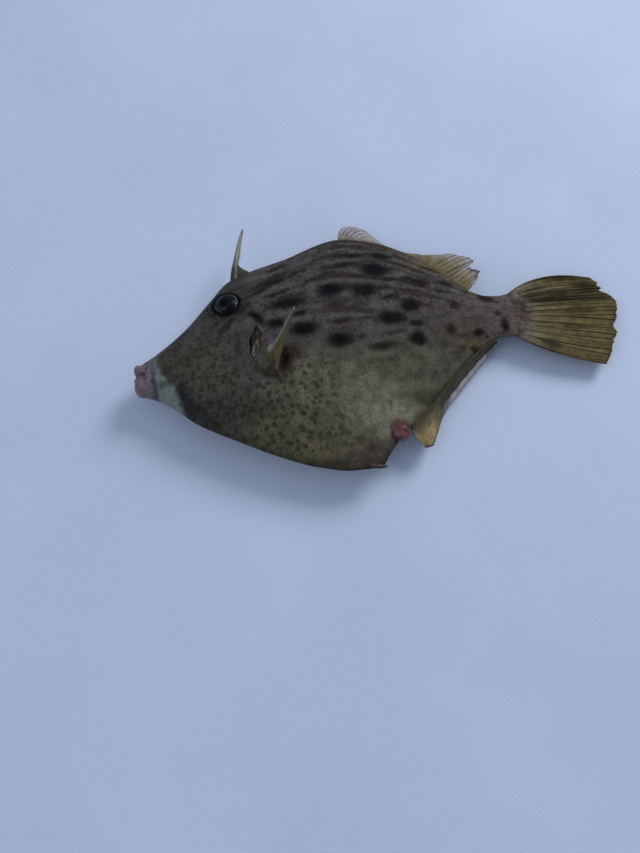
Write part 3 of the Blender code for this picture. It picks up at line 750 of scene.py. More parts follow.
BAND_SPOTS = {
    "high": Tint(14.9, 3.4, 3.4, 3.6, 60, (0.060, 0.060, 0.044), 1.0),
    "middle": Tint(17.2, -1.7, 4.4, 3.8, 40, (0.055, 0.055, 0.042), 1.0),
    "low": Tint(15.0, -8.5, 4.0, 3.4, 20, (0.090, 0.095, 0.070), 0.9),
    "rear": Tint(19.4, -7.6, 4.4, 3.8, 50, (0.062, 0.062, 0.046), 0.9),
    "dark below the band": Tint(27.6, -18.6, 6.0, 17.0, 24, (0.020, 0.021, 0.028), 0.95),
    "dark along the throat": Tint(33.0, -27.5, 14.0, 5.0, -40, (0.024, 0.025, 0.030), 0.9),
}

# Each mark: x and y of its middle, length, width, tilt, darkness and, where it has some, redness.
BLOTCHES = tuple(Blotch(*row) for row in (
    (136, 46.5, 15, 9.5, 0, 1), (109.5, 33, 14, 9, 14, 0.95), (128.5, 32, 14, 8.5, 8, 1),
    (140, 14, 15.5, 7.5, 2, 0.95), (152.5, 21.5, 11.5, 8, 17, 0.95), (93, 10, 13.5, 7.5, 4, 0.95),
    (111.5, 2, 14, 8, 0, 0.95), (121.5, 3, 7, 4, -2, 0.5, 0.7), (78.5, 15, 9, 5.5, -8, 0.85),
    (91.5, 19.5, 8, 4, 17, 0.7), (85.5, 27, 21, 6.5, 7, 0.85), (153.5, 1.5, 9.5, 7.5, 1, 0.95),
    (154, 10.5, 7, 4, 1, 0.8), (133, -2.5, 17, 4.5, 4, 0.65), (114, 13, 15, 3.5, 3, 0.55, 0.4),
    (111.5, 23.5, 15, 3.5, 10, 0.5, 0.5), (113, 8, 18, 3.5, 2, 0.3, 0.8),
    (128, 14.5, 9.5, 2.5, 10, 0.4, 0.9), (142, 27.5, 12, 3.5, 11, 0.6, 0.1),
    (124.5, 22.5, 11.5, 3, 8, 0.35, 0.6), (140.5, 5.5, 12.5, 2.5, 5, 0.45),
    (154, 39.5, 11.5, 4, 0, 0.7, 0.1), (160, 37.5, 12.5, 5, -2, 0.85, 0.5),
    (141.5, 39.5, 8, 3, -3, 0.55), (156, 31.5, 13, 2.5, -1, 0.45, 0.7), (129.5, -10, 15.5, 3.5, 5, 0.3),
    (147, 47.5, 7.5, 3, -12, 0.4, 0.3), (118.5, 50.5, 23, 3, 12, 0.55), (108, 45, 11, 2.5, 17, 0.5),
    (100, 41.5, 12.5, 2, 19, 0.45), (125, 42.5, 9, 2.5, 11, 0.35, 0.2), (125, 58.5, 25, 4, 6, 0.6, 0.1),
    (140.5, 58, 14, 4.5, -9, 0.8), (142.5, 63.5, 8.5, 3, -8, 0.4, 0.9), (134, 67, 13.5, 4.5, 3, 0.3),
    (134, 52.5, 8.5, 2.5, 0, 0.5), (80, 43.5, 17, 4.5, 18, 0.7), (91.5, 48, 12, 3.5, 22, 0.6),
    (80, 34.5, 15, 3, 14, 0.65), (102.5, 53.5, 10, 2.5, 7, 0.35), (115, 61.5, 13, 2.5, 7, 0.3),
    (81.5, 55.5, 13, 4, 21, 0.5), (102, 61.5, 16, 2.5, 6, 0.25, 0.1), (108.5, 50, 5, 2.5, 13, 0.35),
    (76, 33, 7, 3, 3, 0.4), (111, -8.5, 7, 4.5, -4, 0.25), (150, 50.5, 12.5, 3, -13, 0.35, 0.2),
    (176, 38.5, 7.5, 3.5, -10, 0.6), (169, 49.5, 11, 3.5, -14, 0.55), (178, 23, 6.5, 6, 4, 0.7, 0.7),
    (173, 7.5, 5.5, 6.5, 1, 0.65, 0.75), (189.5, 6, 6.5, 4, 3, 0.95, 0.6),
    (194, 3.5, 2, 2, 4, 0.6, 0.7), (198.5, 29, 8.5, 5.5, -24, 0.95, 0.7),
    (203, 26, 6, 2, -14, 0.5, 0.1), (206, 11, 4.5, 7.5, 6, 0.85, 0.5), (203, 18, 6, 3.5, -17, 0.5, 0.2),
    (185.5, -3, 4.5, 4, 8, 0.6, 0.5), (179.5, -2.5, 5, 3.5, 4, 0.4), (183.5, 14.5, 6, 1.5, 2, 0.4, 0.4),
    (162.5, 21.5, 6.5, 4, 3, 0.35, 0.8), (179.5, 4, 8, 2, 3, 0.4, 0.3), (174, -6, 3.5, 3, 4, 0.3, 0.6),
    (155, 11, 5, 3.5, 0, 0.6), (167.5, -1.5, 6.5, 4, 2, 0.35), (159.5, -19, 7.5, 6, 3, 0.3),
    (166, -16, 5, 3, 5, 0.3), (171.5, 31.5, 6.5, 2.5, -8, 0.5), (187, 33, 4, 2.5, 6, 0.3),
    (169.5, 15, 3.5, 2.5, 2, 0.3), (68.5, 20, 11.5, 5, -52, 0.85), (51, 17, 15.5, 3, 47, 0.45),
    (54.5, 19, 13, 2, 57, 0.4), (47, 21.5, 10, 2.5, 35, 0.35), (60.5, 27.5, 11, 5, 33, 0.4),
    (73.5, -14, 18, 5, -31, 0.44), (57, 4.5, 3.5, 14, -10, 0.3), (24.5, -12.5, 3.5, 8.5, -14, 0.3),
    (39.5, 8.5, 21.5, 7, 22, 0.2, 0.2), (77, 45, 24.5, 5.5, 28, 0.6), (71, 38, 14, 3.5, 22, 0.6),
    (86.5, 31, 19, 4.5, 10, 0.5), (146.5, 66, 9, 3.5, -22, 0.5, 0.9),
    (152, 57.5, 9, 3.5, -30, 0.45, 0.6), (137, 33.5, 10, 3.5, 8, 0.4),
))


@dataclass(frozen=True)
class SkinFinish:
    """Wet, velvet-rough skin with dark broken stripes above and small spots below."""

    dark: Colour = (0.0035, 0.0030, 0.0055)
    dark_red: Colour = (0.022, 0.008, 0.007)
    faint: Colour = (0.012, 0.0105, 0.009)
    spot: Colour = (0.030, 0.031, 0.021)
    freckle: Colour = (0.148, 0.138, 0.130)
    dark_streak: Colour = (0.019, 0.017, 0.016)
    red_streak: Colour = (0.050, 0.022, 0.017)
    olive: Colour = (0.120, 0.100, 0.042)
    rusty: Colour = (0.072, 0.036, 0.026)
    band_high: Colour = (0.175, 0.200, 0.235)
    band_low: Colour = (0.205, 0.250, 0.235)
    lip: Colour = (0.178, 0.152, 0.172)
    lip_warmth: Colour = (0.150, 0.055, 0.010)
    # Purple of the folds behind the lips, also painted as shade in the lips' groove and the mouth's corner.
    lip_fold_and_shade: Colour = (0.070, 0.072, 0.112)
    vent_collar: Colour = (0.085, 0.042, 0.040)
    slit_rim: Colour = (0.050, 0.030, 0.026)
    row: float = 0.0078

    def material(self) -> bpy.types.Material:
        """Draw the skin.

        Returns:
            A material that reads the painted ground, marks and zones, and the flow map.
        """
        s = Sketch("filefish_skin")
        ground, _ = s.painted("ground")
        _, (blotch, red, spotted) = s.painted("marks")
        _, (streaky, freckled, plain) = s.painted("zones")
        flow, _, down = s.mapped("flow")
        cloud = s.ramp(s.noise(s.places, 170.0, 5.0), 0.28, 0.72, 0.72, 1.28)
        grain = s.ramp(s.noise(s.places, 1100.0, 3.0), 0.25, 0.75, 0.70, 1.30)
        colour = s.shade(s.shade(ground, cloud), grain)
        webs, _ = s.cells(s.warp(s.places, 420.0, 0.0016), 420.0)
        colour = s.mix(s.ramp(webs, 0.34, 0.66) * freckled * 0.55, colour, self.freckle)
        wave = s.maths("SINE", down * (2 * math.pi / self.row) + s.noise(flow, 26.0, 2.0) * 9.0)
        breaks = s.noise(s.stretch(flow, (30.0, 100.0, 1.0)), 1.0, 1.2, 0.6)
        streak = s.ramp(wave * 0.22 + breaks * 1.5, 0.52, 1.18) * streaky
        tinge = s.ramp(s.noise(flow, 60.0, 2.0), 0.40, 0.60) * (red * 2.0)
        colour = s.mix(streak * 0.86, colour, s.mix(tinge, self.dark_streak, self.red_streak))
        edge = s.noise(s.places, 520.0, 4.0) - 0.5
        # The cover also carries the painted shade of the eye sockets, gill openings and nostrils.
        cover = s.ramp(blotch + edge * s.ramp(blotch, 0.02, 0.3, 0.0, 0.34), 0.0, 1.0) * 0.97
        mark = s.mix(s.ramp(blotch, 0.30, 0.65), self.faint, self.dark)
        colour = s.mix(cover, colour, s.mix(red, mark, self.dark_red))
        for scale, limit, blur, strength in ((235.0, 0.28, 0.17, 0.78), (400.0, 0.24, 0.15, 0.42)):
            near, lot = s.cells(s.warp(s.places, 260.0, 0.0026), scale, "2D")
            dot = s.ramp(near, limit + blur, limit - blur) * s.ramp(lot, 0.16, 0.36)
            colour = s.mix(dot * spotted * strength, colour, self.spot)
        colour = s.mix(plain, colour, ground)
        roughness = s.ramp(s.noise(s.places, 700.0, 3.0), 0.3, 0.7, 0.45, 0.70)
        relief = s.noise(s.places, 2600.0, 3.0) * 0.45 + s.noise(s.places, 420.0, 3.0) * 0.55
        return s.done(colour, roughness, relief, 0.00035, subsurface=0.03, gloss=0.035)


@dataclass
class EyeSize:
    """Place and size of the eyes and their lids."""

    at: Pair = (52.2, 33.1)
    radii: Triple = (7.3, 7.1, 4.6)
    outward: float = 0.45
    sunk: float = 1.3
    lid_radius: float = 7.95
    lid_width: float = 0.62
    lid_height: float = 0.85


@dataclass
class Skin:
    """The one skin of the fish: body, lips, lids, nostrils, gill openings and fin bases."""

    shape: BodyShape
    place: Place
    eye: EyeSize
    finish: SkinFinish = SkinFinish()
    sides: int = 232
    spacing: Outline = ((-1.1, 0.30), (8, 0.42), (14, 0.8), (45, 0.95), (190, 0.98), (208, 0.8),
                        (214, 0.35))
    lip_heart: Pair = (8.5, -1.2)
    lip_end: float = 15.0
    upper_lip: tuple[Pair, Triple] = ((1.5, 3.5), (2.7, 3.5, 4.6))
    lower_lip: tuple[Pair, Triple] = ((3.4, -6.0), (4.3, 5.7, 5.8))
    lip_bulb: Triple = (2.6, 4.2, 3.9)
    mouth: Pair = (3.0, -0.4)
    mouth_depth: float = 3.0
    mouth_slope: float = 0.05
    slit_at: Pair = (66.3, 5.2)
    slit_radii: Pair = (2.9, 9.9)
    slit_tilt: float = -0.18
    slit_depth: float = 2.7
    nostrils: tuple[Triple, ...] = ((41.2, 33.2, 1.0), (38.8, 31.0, 0.8))
    fin_base: tuple[Pair, Triple] = ((74.6, -4.6), (2.9, 7.6, 1.9))
    crease: Triple = (72.6, -12.6, -0.68)
    dimple: Pair = (80.6, -6.6)
    gill_edge: tuple[Pair, Pair] = ((58.5, 4.0), (9.0, 15.0))
    fan_at: Pair = (130.0, -66.0)
    vent_at: Triple = (137.3, -47.2, 16.8)
    right_fin_at: Pair = (76.4, -3.6)
    recess_reach: float = 28.0
    recess_angle: float = 0.62
    recess_height: float = 1.35
    near_depth: float = 7.0
    tail_cap: float = 1.0
    other_flank: float = 37.0
    band_rear: Outline = ((-30.0, 26.0), (-23.2, 25.2), (-17.6, 24.0), (-11.4, 21.8), (-7.2, 18.4),
                          (-1.6, 14.6), (7.9, 11.2), (14.0, 9.6))
    band_front: Outline = ((-20.0, 11.6), (-14.0, 11.4), (-8.1, 11.2), (-0.7, 10.8), (9.4, 8.9),
                           (14.0, 8.4))

    def slit_frame(self, side: Side) -> Matrix:
        """Frame of one flank's gill slit, with its y axis along the slit."""
        turn = Matrix.Rotation(side.value * self.slit_tilt, 4, "Z")
        return self.shape.frame(*self.slit_at, side) @ turn

    def fan(self, x: np.ndarray, y: np.ndarray) -> tuple[np.ndarray, np.ndarray]:
        """Angle and distance from the point that the creases of the pelvic flap spread from."""
        along, up = x - self.fan_at[0], y - self.fan_at[1]
        return np.arctan2(up, along), np.hypot(along, up)

    def ring_places(self) -> np.ndarray:
        """Space the rings along x, closer at the snout and the tail.

        Returns:
            The place of each ring.
        """
        start = self.shape.nose[0]
        places = [start + float(smooth(self.spacing, start)) * 0.35]
        while places[-1] < self.shape.tail_x:
            places.append(places[-1] + float(smooth(self.spacing, places[-1])))
        row = np.array(places)
        return start + (row - start) * (self.shape.tail_x - start) / (row[-1] - start)

    def ring(self, x: float) -> np.ndarray:
        """Lay out one ring of skin with evenly spaced points.

        Args:
            x: place of the ring.

        Returns:
            Places on the left flank and on the right one, from belly to back.
        """
        shape = self.shape
        turn = np.linspace(0.0, math.pi, 241)
        v = (1 - np.cos(turn)) / 2
        low, high = float(smooth(shape.belly, x)), float(smooth(shape.back, x))
        y = low + (high - low) * v
        half = shape.half(x, v)
        if x > shape.tail_x - self.tail_cap:
            half = half * math.sqrt(max(1 - ((x - shape.tail_x) / self.tail_cap + 1) ** 2, 0.0025))
        if x < shape.nose_cap_x:
            share = (shape.nose_cap_x - x) / (shape.nose_cap_x - shape.nose[0])
            size = max(1 - share ** shape.nose_power, 0.0) ** (1 / shape.nose_power)
            y = shape.nose[1] + (y - shape.nose[1]) * size
            half = half * size
        flanks = []
        for side in Side:
            z = np.maximum(shape.mid(x) + side.value * half, 0.0)
            run = np.concatenate([[0.0], np.cumsum(np.hypot(np.diff(y), np.diff(z)))])
            even = np.linspace(0.0, run[-1], self.sides // 2 + 1)
            rows = (np.full_like(even, x), np.interp(even, run, y), np.interp(even, run, z))
            flanks.append(np.stack(rows, 1))
        return np.array(flanks)

    def lay_body(self) -> Piece:
        """Shape a ball into the whole body.

        Returns:
            The closed skin, still smooth.
        """
        places = self.ring_places()
        levels = len(places) + 1
        obj, unit = ball("skin", self.sides, levels)
        level = np.rint(np.arccos(np.clip(unit[:, 2], -1, 1)) / math.pi * levels).astype(int)
        angle = np.arctan2(unit[:, 1], unit[:, 0])
        index = np.rint(np.abs(angle) / math.pi * (self.sides // 2)).astype(int)
        flank = np.where(angle >= 0, 0, 1)
        rings = np.array([self.ring(x) for x in places])
        moved = rings[np.clip(level - 1, 0, levels - 2), flank, index]
        shape = self.shape
        moved[level == 0] = (*shape.nose, float(shape.mid(shape.nose[0])))
        tail_y = (shape.back[-1][1] + shape.belly[-1][1]) / 2
        moved[level == levels] = (shape.tail_x, tail_y, float(shape.mid(shape.tail_x)))
        write(obj, moved)
        return obj

    def refine(self, obj: Piece, centres: Sequence[Vector], reach: float) -> None:
        """Divide the faces near some places.

        Args:
            obj: the skin.
            centres: places in millimetres.
            reach: how far from them faces are divided.
        """
        middles = np.empty(len(obj.data.polygons) * 3)
        obj.data.polygons.foreach_get("center", middles)
        middles = middles.reshape(-1, 3)
        chosen = np.zeros(len(middles), bool)
        for centre in centres:
            chosen |= np.linalg.norm(middles - np.array(centre), axis=1) < reach
        take(obj)
        bpy.ops.object.mode_set(mode="EDIT")
        bpy.ops.mesh.select_mode(type="FACE")
        bpy.ops.mesh.select_all(action="DESELECT")
        bpy.ops.object.mode_set(mode="OBJECT")
        obj.data.polygons.foreach_set("select", chosen)
        bpy.ops.object.mode_set(mode="EDIT")
        bpy.ops.mesh.subdivide(number_cuts=1)
        bpy.ops.object.mode_set(mode="OBJECT")

    def shape_lips(self, places: np.ndarray) -> np.ndarray:
        """Swell the two lips, part them by the mouth and fold the skin behind them.

        Args:
            places: the skin's vertices.

        Returns:
            The vertices, moved.
        """
        x0, y0 = self.lip_heart
        heart = np.array([x0, y0, float(self.shape.mid(x0))])
        near = places[:, 0] < self.lip_end
        out = places[near] - heart
        reach = np.linalg.norm(out, axis=1)
        unit = out / np.maximum(reach, 1e-6)[:, None]
        full = reach.copy()
        for (cx, cy), radii in (self.upper_lip, self.lower_lip):
            centre = np.array([cx, cy, float(self.shape.mid(cx))])
            offset = (heart - centre) / radii
            aim = unit / radii
            a = (aim ** 2).sum(1)
            b = (aim * offset).sum(1)
            c = (offset ** 2).sum() - 1
            inside = b * b - a * c
            hit = np.where(inside > 0, (-b + np.sqrt(np.maximum(inside, 0))) / a, 0.0)
            full = 0.5 * (full + hit + np.sqrt((full - hit) ** 2 + 0.35))
        full = reach + (full - reach) * step(self.lip_end, 10.5, places[near, 0])
        swollen = heart + unit * full[:, None]
        x, y, z = swollen.T
        line = y - self.mouth[1] + self.mouth_slope * (x - self.mouth[0])
        line = line - 0.5 * np.sin((z - 15.0) * 0.35)
        gap = hump(line, 0.0, 0.50) * step(5.6, 3.2, x)
        full -= self.mouth_depth * gap * step(0.0, 3.0, full - 2.0)
        full -= 1.15 * hump(line, 0.0, 1.7) * step(4.5, 1.0, x)
        fold = x - smooth(self.band_front, y) + self.fold_wave(swollen)
        full -= 0.55 * hump(fold, -0.7, 0.7) * step(13, 9, np.abs(y)) * step(6.0, -3.0, y)
        full -= 0.40 * hump(fold, -2.5, 0.55) * step(9, 6, np.abs(y))
        full -= 0.14 * np.sin(fold * 4.6 + y * 0.5) * step(-6.5, -4.5, fold) * step(1.5, -0.5, fold)
        full += 0.25 * rough(swollen, 1.7) * step(12.0, 7.0, x)
        bulb = hump(self.from_bulb(x, y), self.lip_bulb[2], 0.65)
        full -= 0.75 * bulb * step(1.4, 3.0, x) * step(9.5, 7.5, y)
        moved = places.copy()
        moved[near] = heart + unit * full[:, None]
        moved[:, 0] = np.maximum(moved[:, 0], self.shape.nose[0])
        return moved

    def from_bulb(self, x: np.ndarray, y: np.ndarray) -> np.ndarray:
        """Distance from the middle of the upper lip's round swelling."""
        return np.hypot(x - self.lip_bulb[0], y - self.lip_bulb[1])

    @staticmethod
    def fold_wave(places: np.ndarray) -> np.ndarray:
        """How far the folds behind the lips stray from their line."""
        return 1.1 * rough(places, 4.2)

    def seat_eye(self, places: np.ndarray, side: Side) -> np.ndarray:
        """Sink a socket with a round lid for one eye.

        Args:
            places: the skin's vertices.
            side: the eye's flank.

        Returns:
            The vertices, moved.
        """
        eye = self.eye
        frame = self.shape.frame(*eye.at, side, 0.0, eye.outward)
        own = to_local(places, frame)
        radius = np.hypot(own[:, 0], own[:, 1] * eye.radii[0] / eye.radii[1])
        near = (radius < 14.0) & (np.abs(own[:, 2]) < 7.5)
        r = radius[near]
        turn = np.arctan2(own[near, 1], own[near, 0])
        lid = eye.lid_height * hump(r, eye.lid_radius, eye.lid_width) - 0.35
        lid = lid + 0.12 * np.sin(turn * 9.0) * hump(r, eye.lid_radius + 0.7, 0.8)
        well = step(7.35, 6.75, r)
        lid = lid * (1 - well) - 2.9 * well
        share = step(12.5, 8.4, r)
        folds = 0.22 * np.sin((r - 8.0) * 2.6 + 0.8 * np.sin(turn * 3)) * hump(r, 10.0, 1.6)
        own[near, 2] = own[near, 2] * (1 - share) + lid * share - folds
        moved = places.copy()
        moved[near] = from_local(own[near], frame)
        return moved

    def slit_reach(self, own: np.ndarray) -> np.ndarray:
        """Measure how far places are from a gill slit's middle.

        Args:
            own: the places as the slit's frame sees them.

        Returns:
            For each place 0 near the middle and 1 on the slit's pointed outline.
        """
        wide, long = self.slit_radii
        across = own[:, 0] + 0.30 * np.sin(own[:, 1] * 0.8 + 0.6)
        return np.sqrt(across ** 2 + 0.10) / wide + (own[:, 1] / long) ** 2

    def open_gill(self, places: np.ndarray, side: Side) -> np.ndarray:
        """Open the short gill slit of one flank.

        Args:
            places: the skin's vertices.
            side: the flank.

        Returns:
            The vertices, moved.
        """
        frame = self.slit_frame(side)
        own = to_local(places, frame)
        reach = self.slit_reach(own)
        near = (reach < 3.0) & (np.abs(own[:, 2]) < self.near_depth)
        depth = self.slit_depth if side is Side.LEFT else self.slit_depth * 0.8
        own[near, 2] += 0.42 * hump(reach[near], 1.30, 0.22) - depth * step(1.10, 0.74, reach[near])
        moved = places.copy()
        moved[near] = from_local(own[near], frame)
        return moved

    def pierce_nostrils(self, places: np.ndarray, side: Side) -> np.ndarray:
        """Raise the two nostrils' rims and sink their holes.

        Args:
            places: the skin's vertices.
            side: the flank.

        Returns:
            The vertices, moved.
        """
        moved = places.copy()
        for x, y, radius in self.nostrils:
            frame = self.shape.frame(x, y, side)
            own = to_local(moved, frame)
            reach = np.hypot(own[:, 0], own[:, 1])
            near = (reach < 3.0) & (np.abs(own[:, 2]) < 3.0)
            r = reach[near]
            own[near, 2] += 0.42 * hump(r, radius, 0.34) - 0.9 * step(radius * 0.75, radius * 0.35, r)
            moved[near] = from_local(own[near], frame)
        return moved

    def relief(self, places: np.ndarray) -> np.ndarray:
        """Raise the fin bases, folds, creases and small swellings of the skin.

        Args:
            places: the skin's vertices before any feature.

        Returns:
            How far each vertex moves out of the body, in millimetres.
        """
        x, y, z = places.T
        out = 0.10 * rough(places, 7.0) + 0.05 * rough(places, 2.2)
        (bx, by), (rx, ry, rise) = self.fin_base
        cx, cy, turn = self.crease
        crease = (y - cy) * math.cos(turn) - (x - cx) * math.sin(turn)
        along = (x - cx) * math.cos(turn) + (y - cy) * math.sin(turn)
        (gx, gy), (wide, high) = self.gill_edge
        above = rise * step(1.45, 0.55, np.hypot((x - bx) / rx, (y - by) / ry))
        above -= 0.75 * hump(crease, 0.0, 1.3) * hump(along, 0.0, 6.5)
        above -= 0.9 * hump(np.hypot(x - self.dimple[0], (y - self.dimple[1]) / 2.4), 0.0, 1.6)
        above -= 0.22 * hump(np.hypot((x - gx) / wide, (y - gy) / high), 1.0, 0.13)
        out += np.where(z > self.shape.mid(x), above, 0.0)
        turn, away = self.fan(x, y)
        spread = step(48.0, 30.0, away) * step(9.0, 18.0, away) * step(0.36, 0.12, self.shape.share(x, y))
        out += 0.28 * np.sin(turn * 46.0 + 1.2 * np.sin(x * 0.12)) * spread
        anal = step(142, 146, x) * step(203, 198, x) * step(6.5, 1.5, y - smooth(self.shape.belly, x))
        out += 0.26 * bars(x, ANAL_ROOT, ANAL_RAYS) * anal
        dorsal = step(118, 122, x) * step(193, 188, x) * step(6.0, 1.5, smooth(self.shape.back, x) - y)
        out += 0.22 * bars(x, DORSAL_ROOT, DORSAL_RAYS) * dorsal
        out += 0.22 * step(190, 200, x) * rough(places * (0.35, 1.0, 1.0), 1.6)
        return out * step(1.0, 9.0, x) * step(0.2, 1.2, z)

    def sculpt(self, places: np.ndarray) -> np.ndarray:
        """Give the smooth body all its features.

        Args:
            places: the smooth skin's vertices.

        Returns:
            The vertices, moved.
        """
        x = places[:, 0]
        mid = self.shape.mid(x)
        side = np.sign(places[:, 2] - mid)
        steep = np.abs(places[:, 2] - mid) / np.maximum(smooth(self.shape.half_thickness, x), 0.5)
        moved = places.copy()
        moved[:, 2] += side * self.relief(places) * step(0.0, 0.5, steep)
        moved = self.shape_lips(moved)
        for flank in Side:
            moved = self.seat_eye(moved, flank)
            moved = self.open_gill(moved, flank)
            moved = self.pierce_nostrils(moved, flank)
        floor = np.where(self.right_fin_recess(places), self.recess_height, 0.0)
        moved[:, 2] = np.maximum(moved[:, 2], floor)
        return moved

    def right_fin_recess(self, places: np.ndarray) -> np.ndarray:
        """Find the skin over the right pectoral fin, pressed flat under the body.

        Args:
            places: the smooth skin's vertices.

        Returns:
            Whether each vertex lies over the fin.
        """
        x, y, z = places.T
        at_x, at_y = self.right_fin_at
        turn = np.abs(np.arctan2(y - at_y, x - at_x + 4.4))
        reach = np.hypot(x - at_x, y - at_y)
        return (z < 1.4) & (reach < self.recess_reach) & (turn < self.recess_angle) & (x > at_x - 0.9)

    def ground_colours(self, places: np.ndarray) -> np.ndarray:
        """Blend the ground colours of the skin, with painted shade along its edges, in the mouth's slit, in
        the lips' folds and behind the pectoral fin.

        Args:
            places: the smooth skin's vertices.

        Returns:
            A colour for each vertex.
        """
        finish = self.finish
        x, y, z = places.T
        v = self.shape.share(x, y)
        total = np.zeros((len(x), 3))
        weights = np.full(len(x), 1e-6)
        for patch in GROUND.values():
            spread = ((x - patch.x) / patch.long) ** 2 + ((y - patch.y) / patch.high) ** 2
            weight = patch.weight * np.exp(-spread)
            total += weight[:, None] * np.array(patch.colour)
            weights += weight
        colours = total / weights[:, None]
        # Painted shade: the skin darkens along the belly's edge, as far back as the anal fin, and along the
        # back's edge.
        rim = step(0.05, 0.0, v) * step(20, 60, x) * step(206, 196, x)
        rim = np.maximum(rim, step(0.95, 1.0, v) * step(12, 20, x))
        colours *= (1 - 0.45 * rim)[:, None]
        below = smooth(self.shape.back, x) - y + 1.4 * rough(places, 5.0)
        strip = step(7.0, 2.0, below) * step(114, 121, x) * step(197, 190, x)
        rusty = step(-0.25, 0.35, rough(places + 40.0, 6.0)) * step(185, 150, x)
        colours = blend(colours, blend(np.array(finish.olive), finish.rusty, rusty), 0.85 * strip)
        rear = x - smooth(self.band_rear, y + 1.6 * rough(places, 4.5)) + 1.4 * rough(places, 2.8)
        front = x - smooth(self.band_front, y) + self.fold_wave(places)
        pale = blend(np.array(finish.band_high), finish.band_low, step(2.0, -8.0, y))
        pale *= (1 + 0.22 * rough(places, 2.6))[:, None]
        colours = blend(colours, pale, step(3.0, -2.4, rear) * step(-1.2, 1.6, front))
        shaken = y + 0.8 * rough(places, 1.5)
        for tint in BAND_SPOTS.values():
            colours = blend(colours, tint.colour, tint.strength * oval(tint, x, shaken))
        colours = blend(colours, self.lip_colours(places, front), step(0.7, -0.5, front))
        turn, away = self.fan(x, y)
        spread = step(62.0, 30.0, away) * step(9.0, 18.0, away) * step(0.36, 0.10, v) * step(70, 95, x)
        spread *= 0.5 + 0.5 * rough(places, 6.0)
        colours *= (1 + 0.16 * spread * np.sin(turn * 38.0 + 2.4 * np.sin(x * 0.12)))[:, None]
        collar = hump(np.hypot(x - self.vent_at[0], y - self.vent_at[1]), 5.0, 1.8)
        colours = blend(colours, finish.vent_collar, 0.8 * collar)
        for side in Side:
            own = to_local(places, self.slit_frame(side))
            rim = hump(self.slit_reach(own), 1.16, 0.26) * (np.abs(own[:, 2]) < self.near_depth)
            colours = blend(colours, finish.slit_rim, 0.55 * rim * step(-7.0, 5.0, own[:, 1]))
        for tint in PECTORAL_TINTS.values():
            share = np.where(z > self.shape.mid(x), tint.strength * oval(tint, x, y), 0.0)
            colours = blend(colours, tint.colour, share)
        # Painted shade in the mouth's slit between the lips.
        slit = step(0.85, 0.2, np.abs(y - self.mouth[1] + self.mouth_slope * x)) * step(7.5, 4.5, x)
        return colours * (1 - 0.75 * slit)[:, None]

    def lip_colours(self, places: np.ndarray, front: np.ndarray) -> np.ndarray:
        """Blend the colours of the lips and of the folds behind them, which are partly purple skin and partly
        painted shade, with painted shade in the groove round the upper lip's swelling and in the mouth's
        corner.

        Args:
            places: the smooth skin's vertices.
            front: how far each is behind the folds' line.

        Returns:
            A colour for each vertex.
        """
        x, y, _ = places.T
        warm = step(5.0, 0.5, x) * np.maximum(step(-2.0, -5.5, y), 0.45 * step(1.0, 3.0, y))
        pink = np.array(self.finish.lip) + warm[:, None] * np.array(self.finish.lip_warmth)
        # The folds are partly purple skin and partly painted shade; the groove round the upper lip's swelling
        # and the mouth's corner get painted shade.
        folds = step(-3.6, -0.4, front + 1.3 * rough(places, 1.3)) * (0.35 + 0.65 * step(2.0, -5.0, y))
        bulb = hump(self.from_bulb(x, y), self.lip_bulb[2], 0.7) * step(1.6, 3.2, x) * step(8.5, 6.0, y)
        corner = hump(np.hypot(x - 5.0, (y + 1.2) * 0.7), 0.0, 1.3)
        folds = np.maximum(np.maximum(folds, 0.75 * bulb), 0.8 * corner)
        lips = blend(pink, self.finish.lip_fold_and_shade, folds)
        return lips * (1 + 0.35 * rough(places * (1.0, 0.4, 1.0), 1.1))[:, None]

    def lids_and_hollow_shade(self, places: np.ndarray) -> np.ndarray:
        """Paint shade round the eyes, where it is partly the dark skin of the lids, and inside the gill
        openings and nostrils.

        Args:
            places: the smooth skin's vertices.

        Returns:
            How much painted shade each vertex gets, from 0 to 1.
        """
        dark = np.zeros(len(places))
        for side in Side:
            own = to_local(places, self.shape.frame(*self.eye.at, side, 0.0, self.eye.outward))
            radius = np.hypot(own[:, 0], own[:, 1])
            near = np.abs(own[:, 2]) < 7.5
            low = step(-2.0, 6.0, own[:, 0] - own[:, 1]) + step(1.0, 7.0, -own[:, 0] - own[:, 1])
            radius = radius + 0.5 * rough(own, 2.5) - 0.9 * np.minimum(low, 1.0)
            ring = 0.75 * step(8.3, 7.5, radius) + 0.45 * hump(radius, 9.9, 0.8)
            ring *= 1 - 0.5 * step(1.0, 7.0, own[:, 0]) * step(7.9, 8.2, radius)
            dark = np.maximum(dark, np.where(near, ring, 0.0))
            own = to_local(places, self.slit_frame(side))
            near = np.abs(own[:, 2]) < self.near_depth
            shade = step(1.12, 0.94, self.slit_reach(own)) * (0.40 + 0.50 * step(0.8, -0.8, own[:, 0]))
            dark = np.maximum(dark, np.where(near, shade, 0.0))
            for x, y, radius in self.nostrils:
                own = to_local(places, self.shape.frame(x, y, side))
                reach = np.hypot(own[:, 0], own[:, 1])
                hole = step(0.9, 0.5, reach / radius)
                dark = np.maximum(dark, np.where(np.abs(own[:, 2]) < 3.0, hole, 0.0))
        return dark

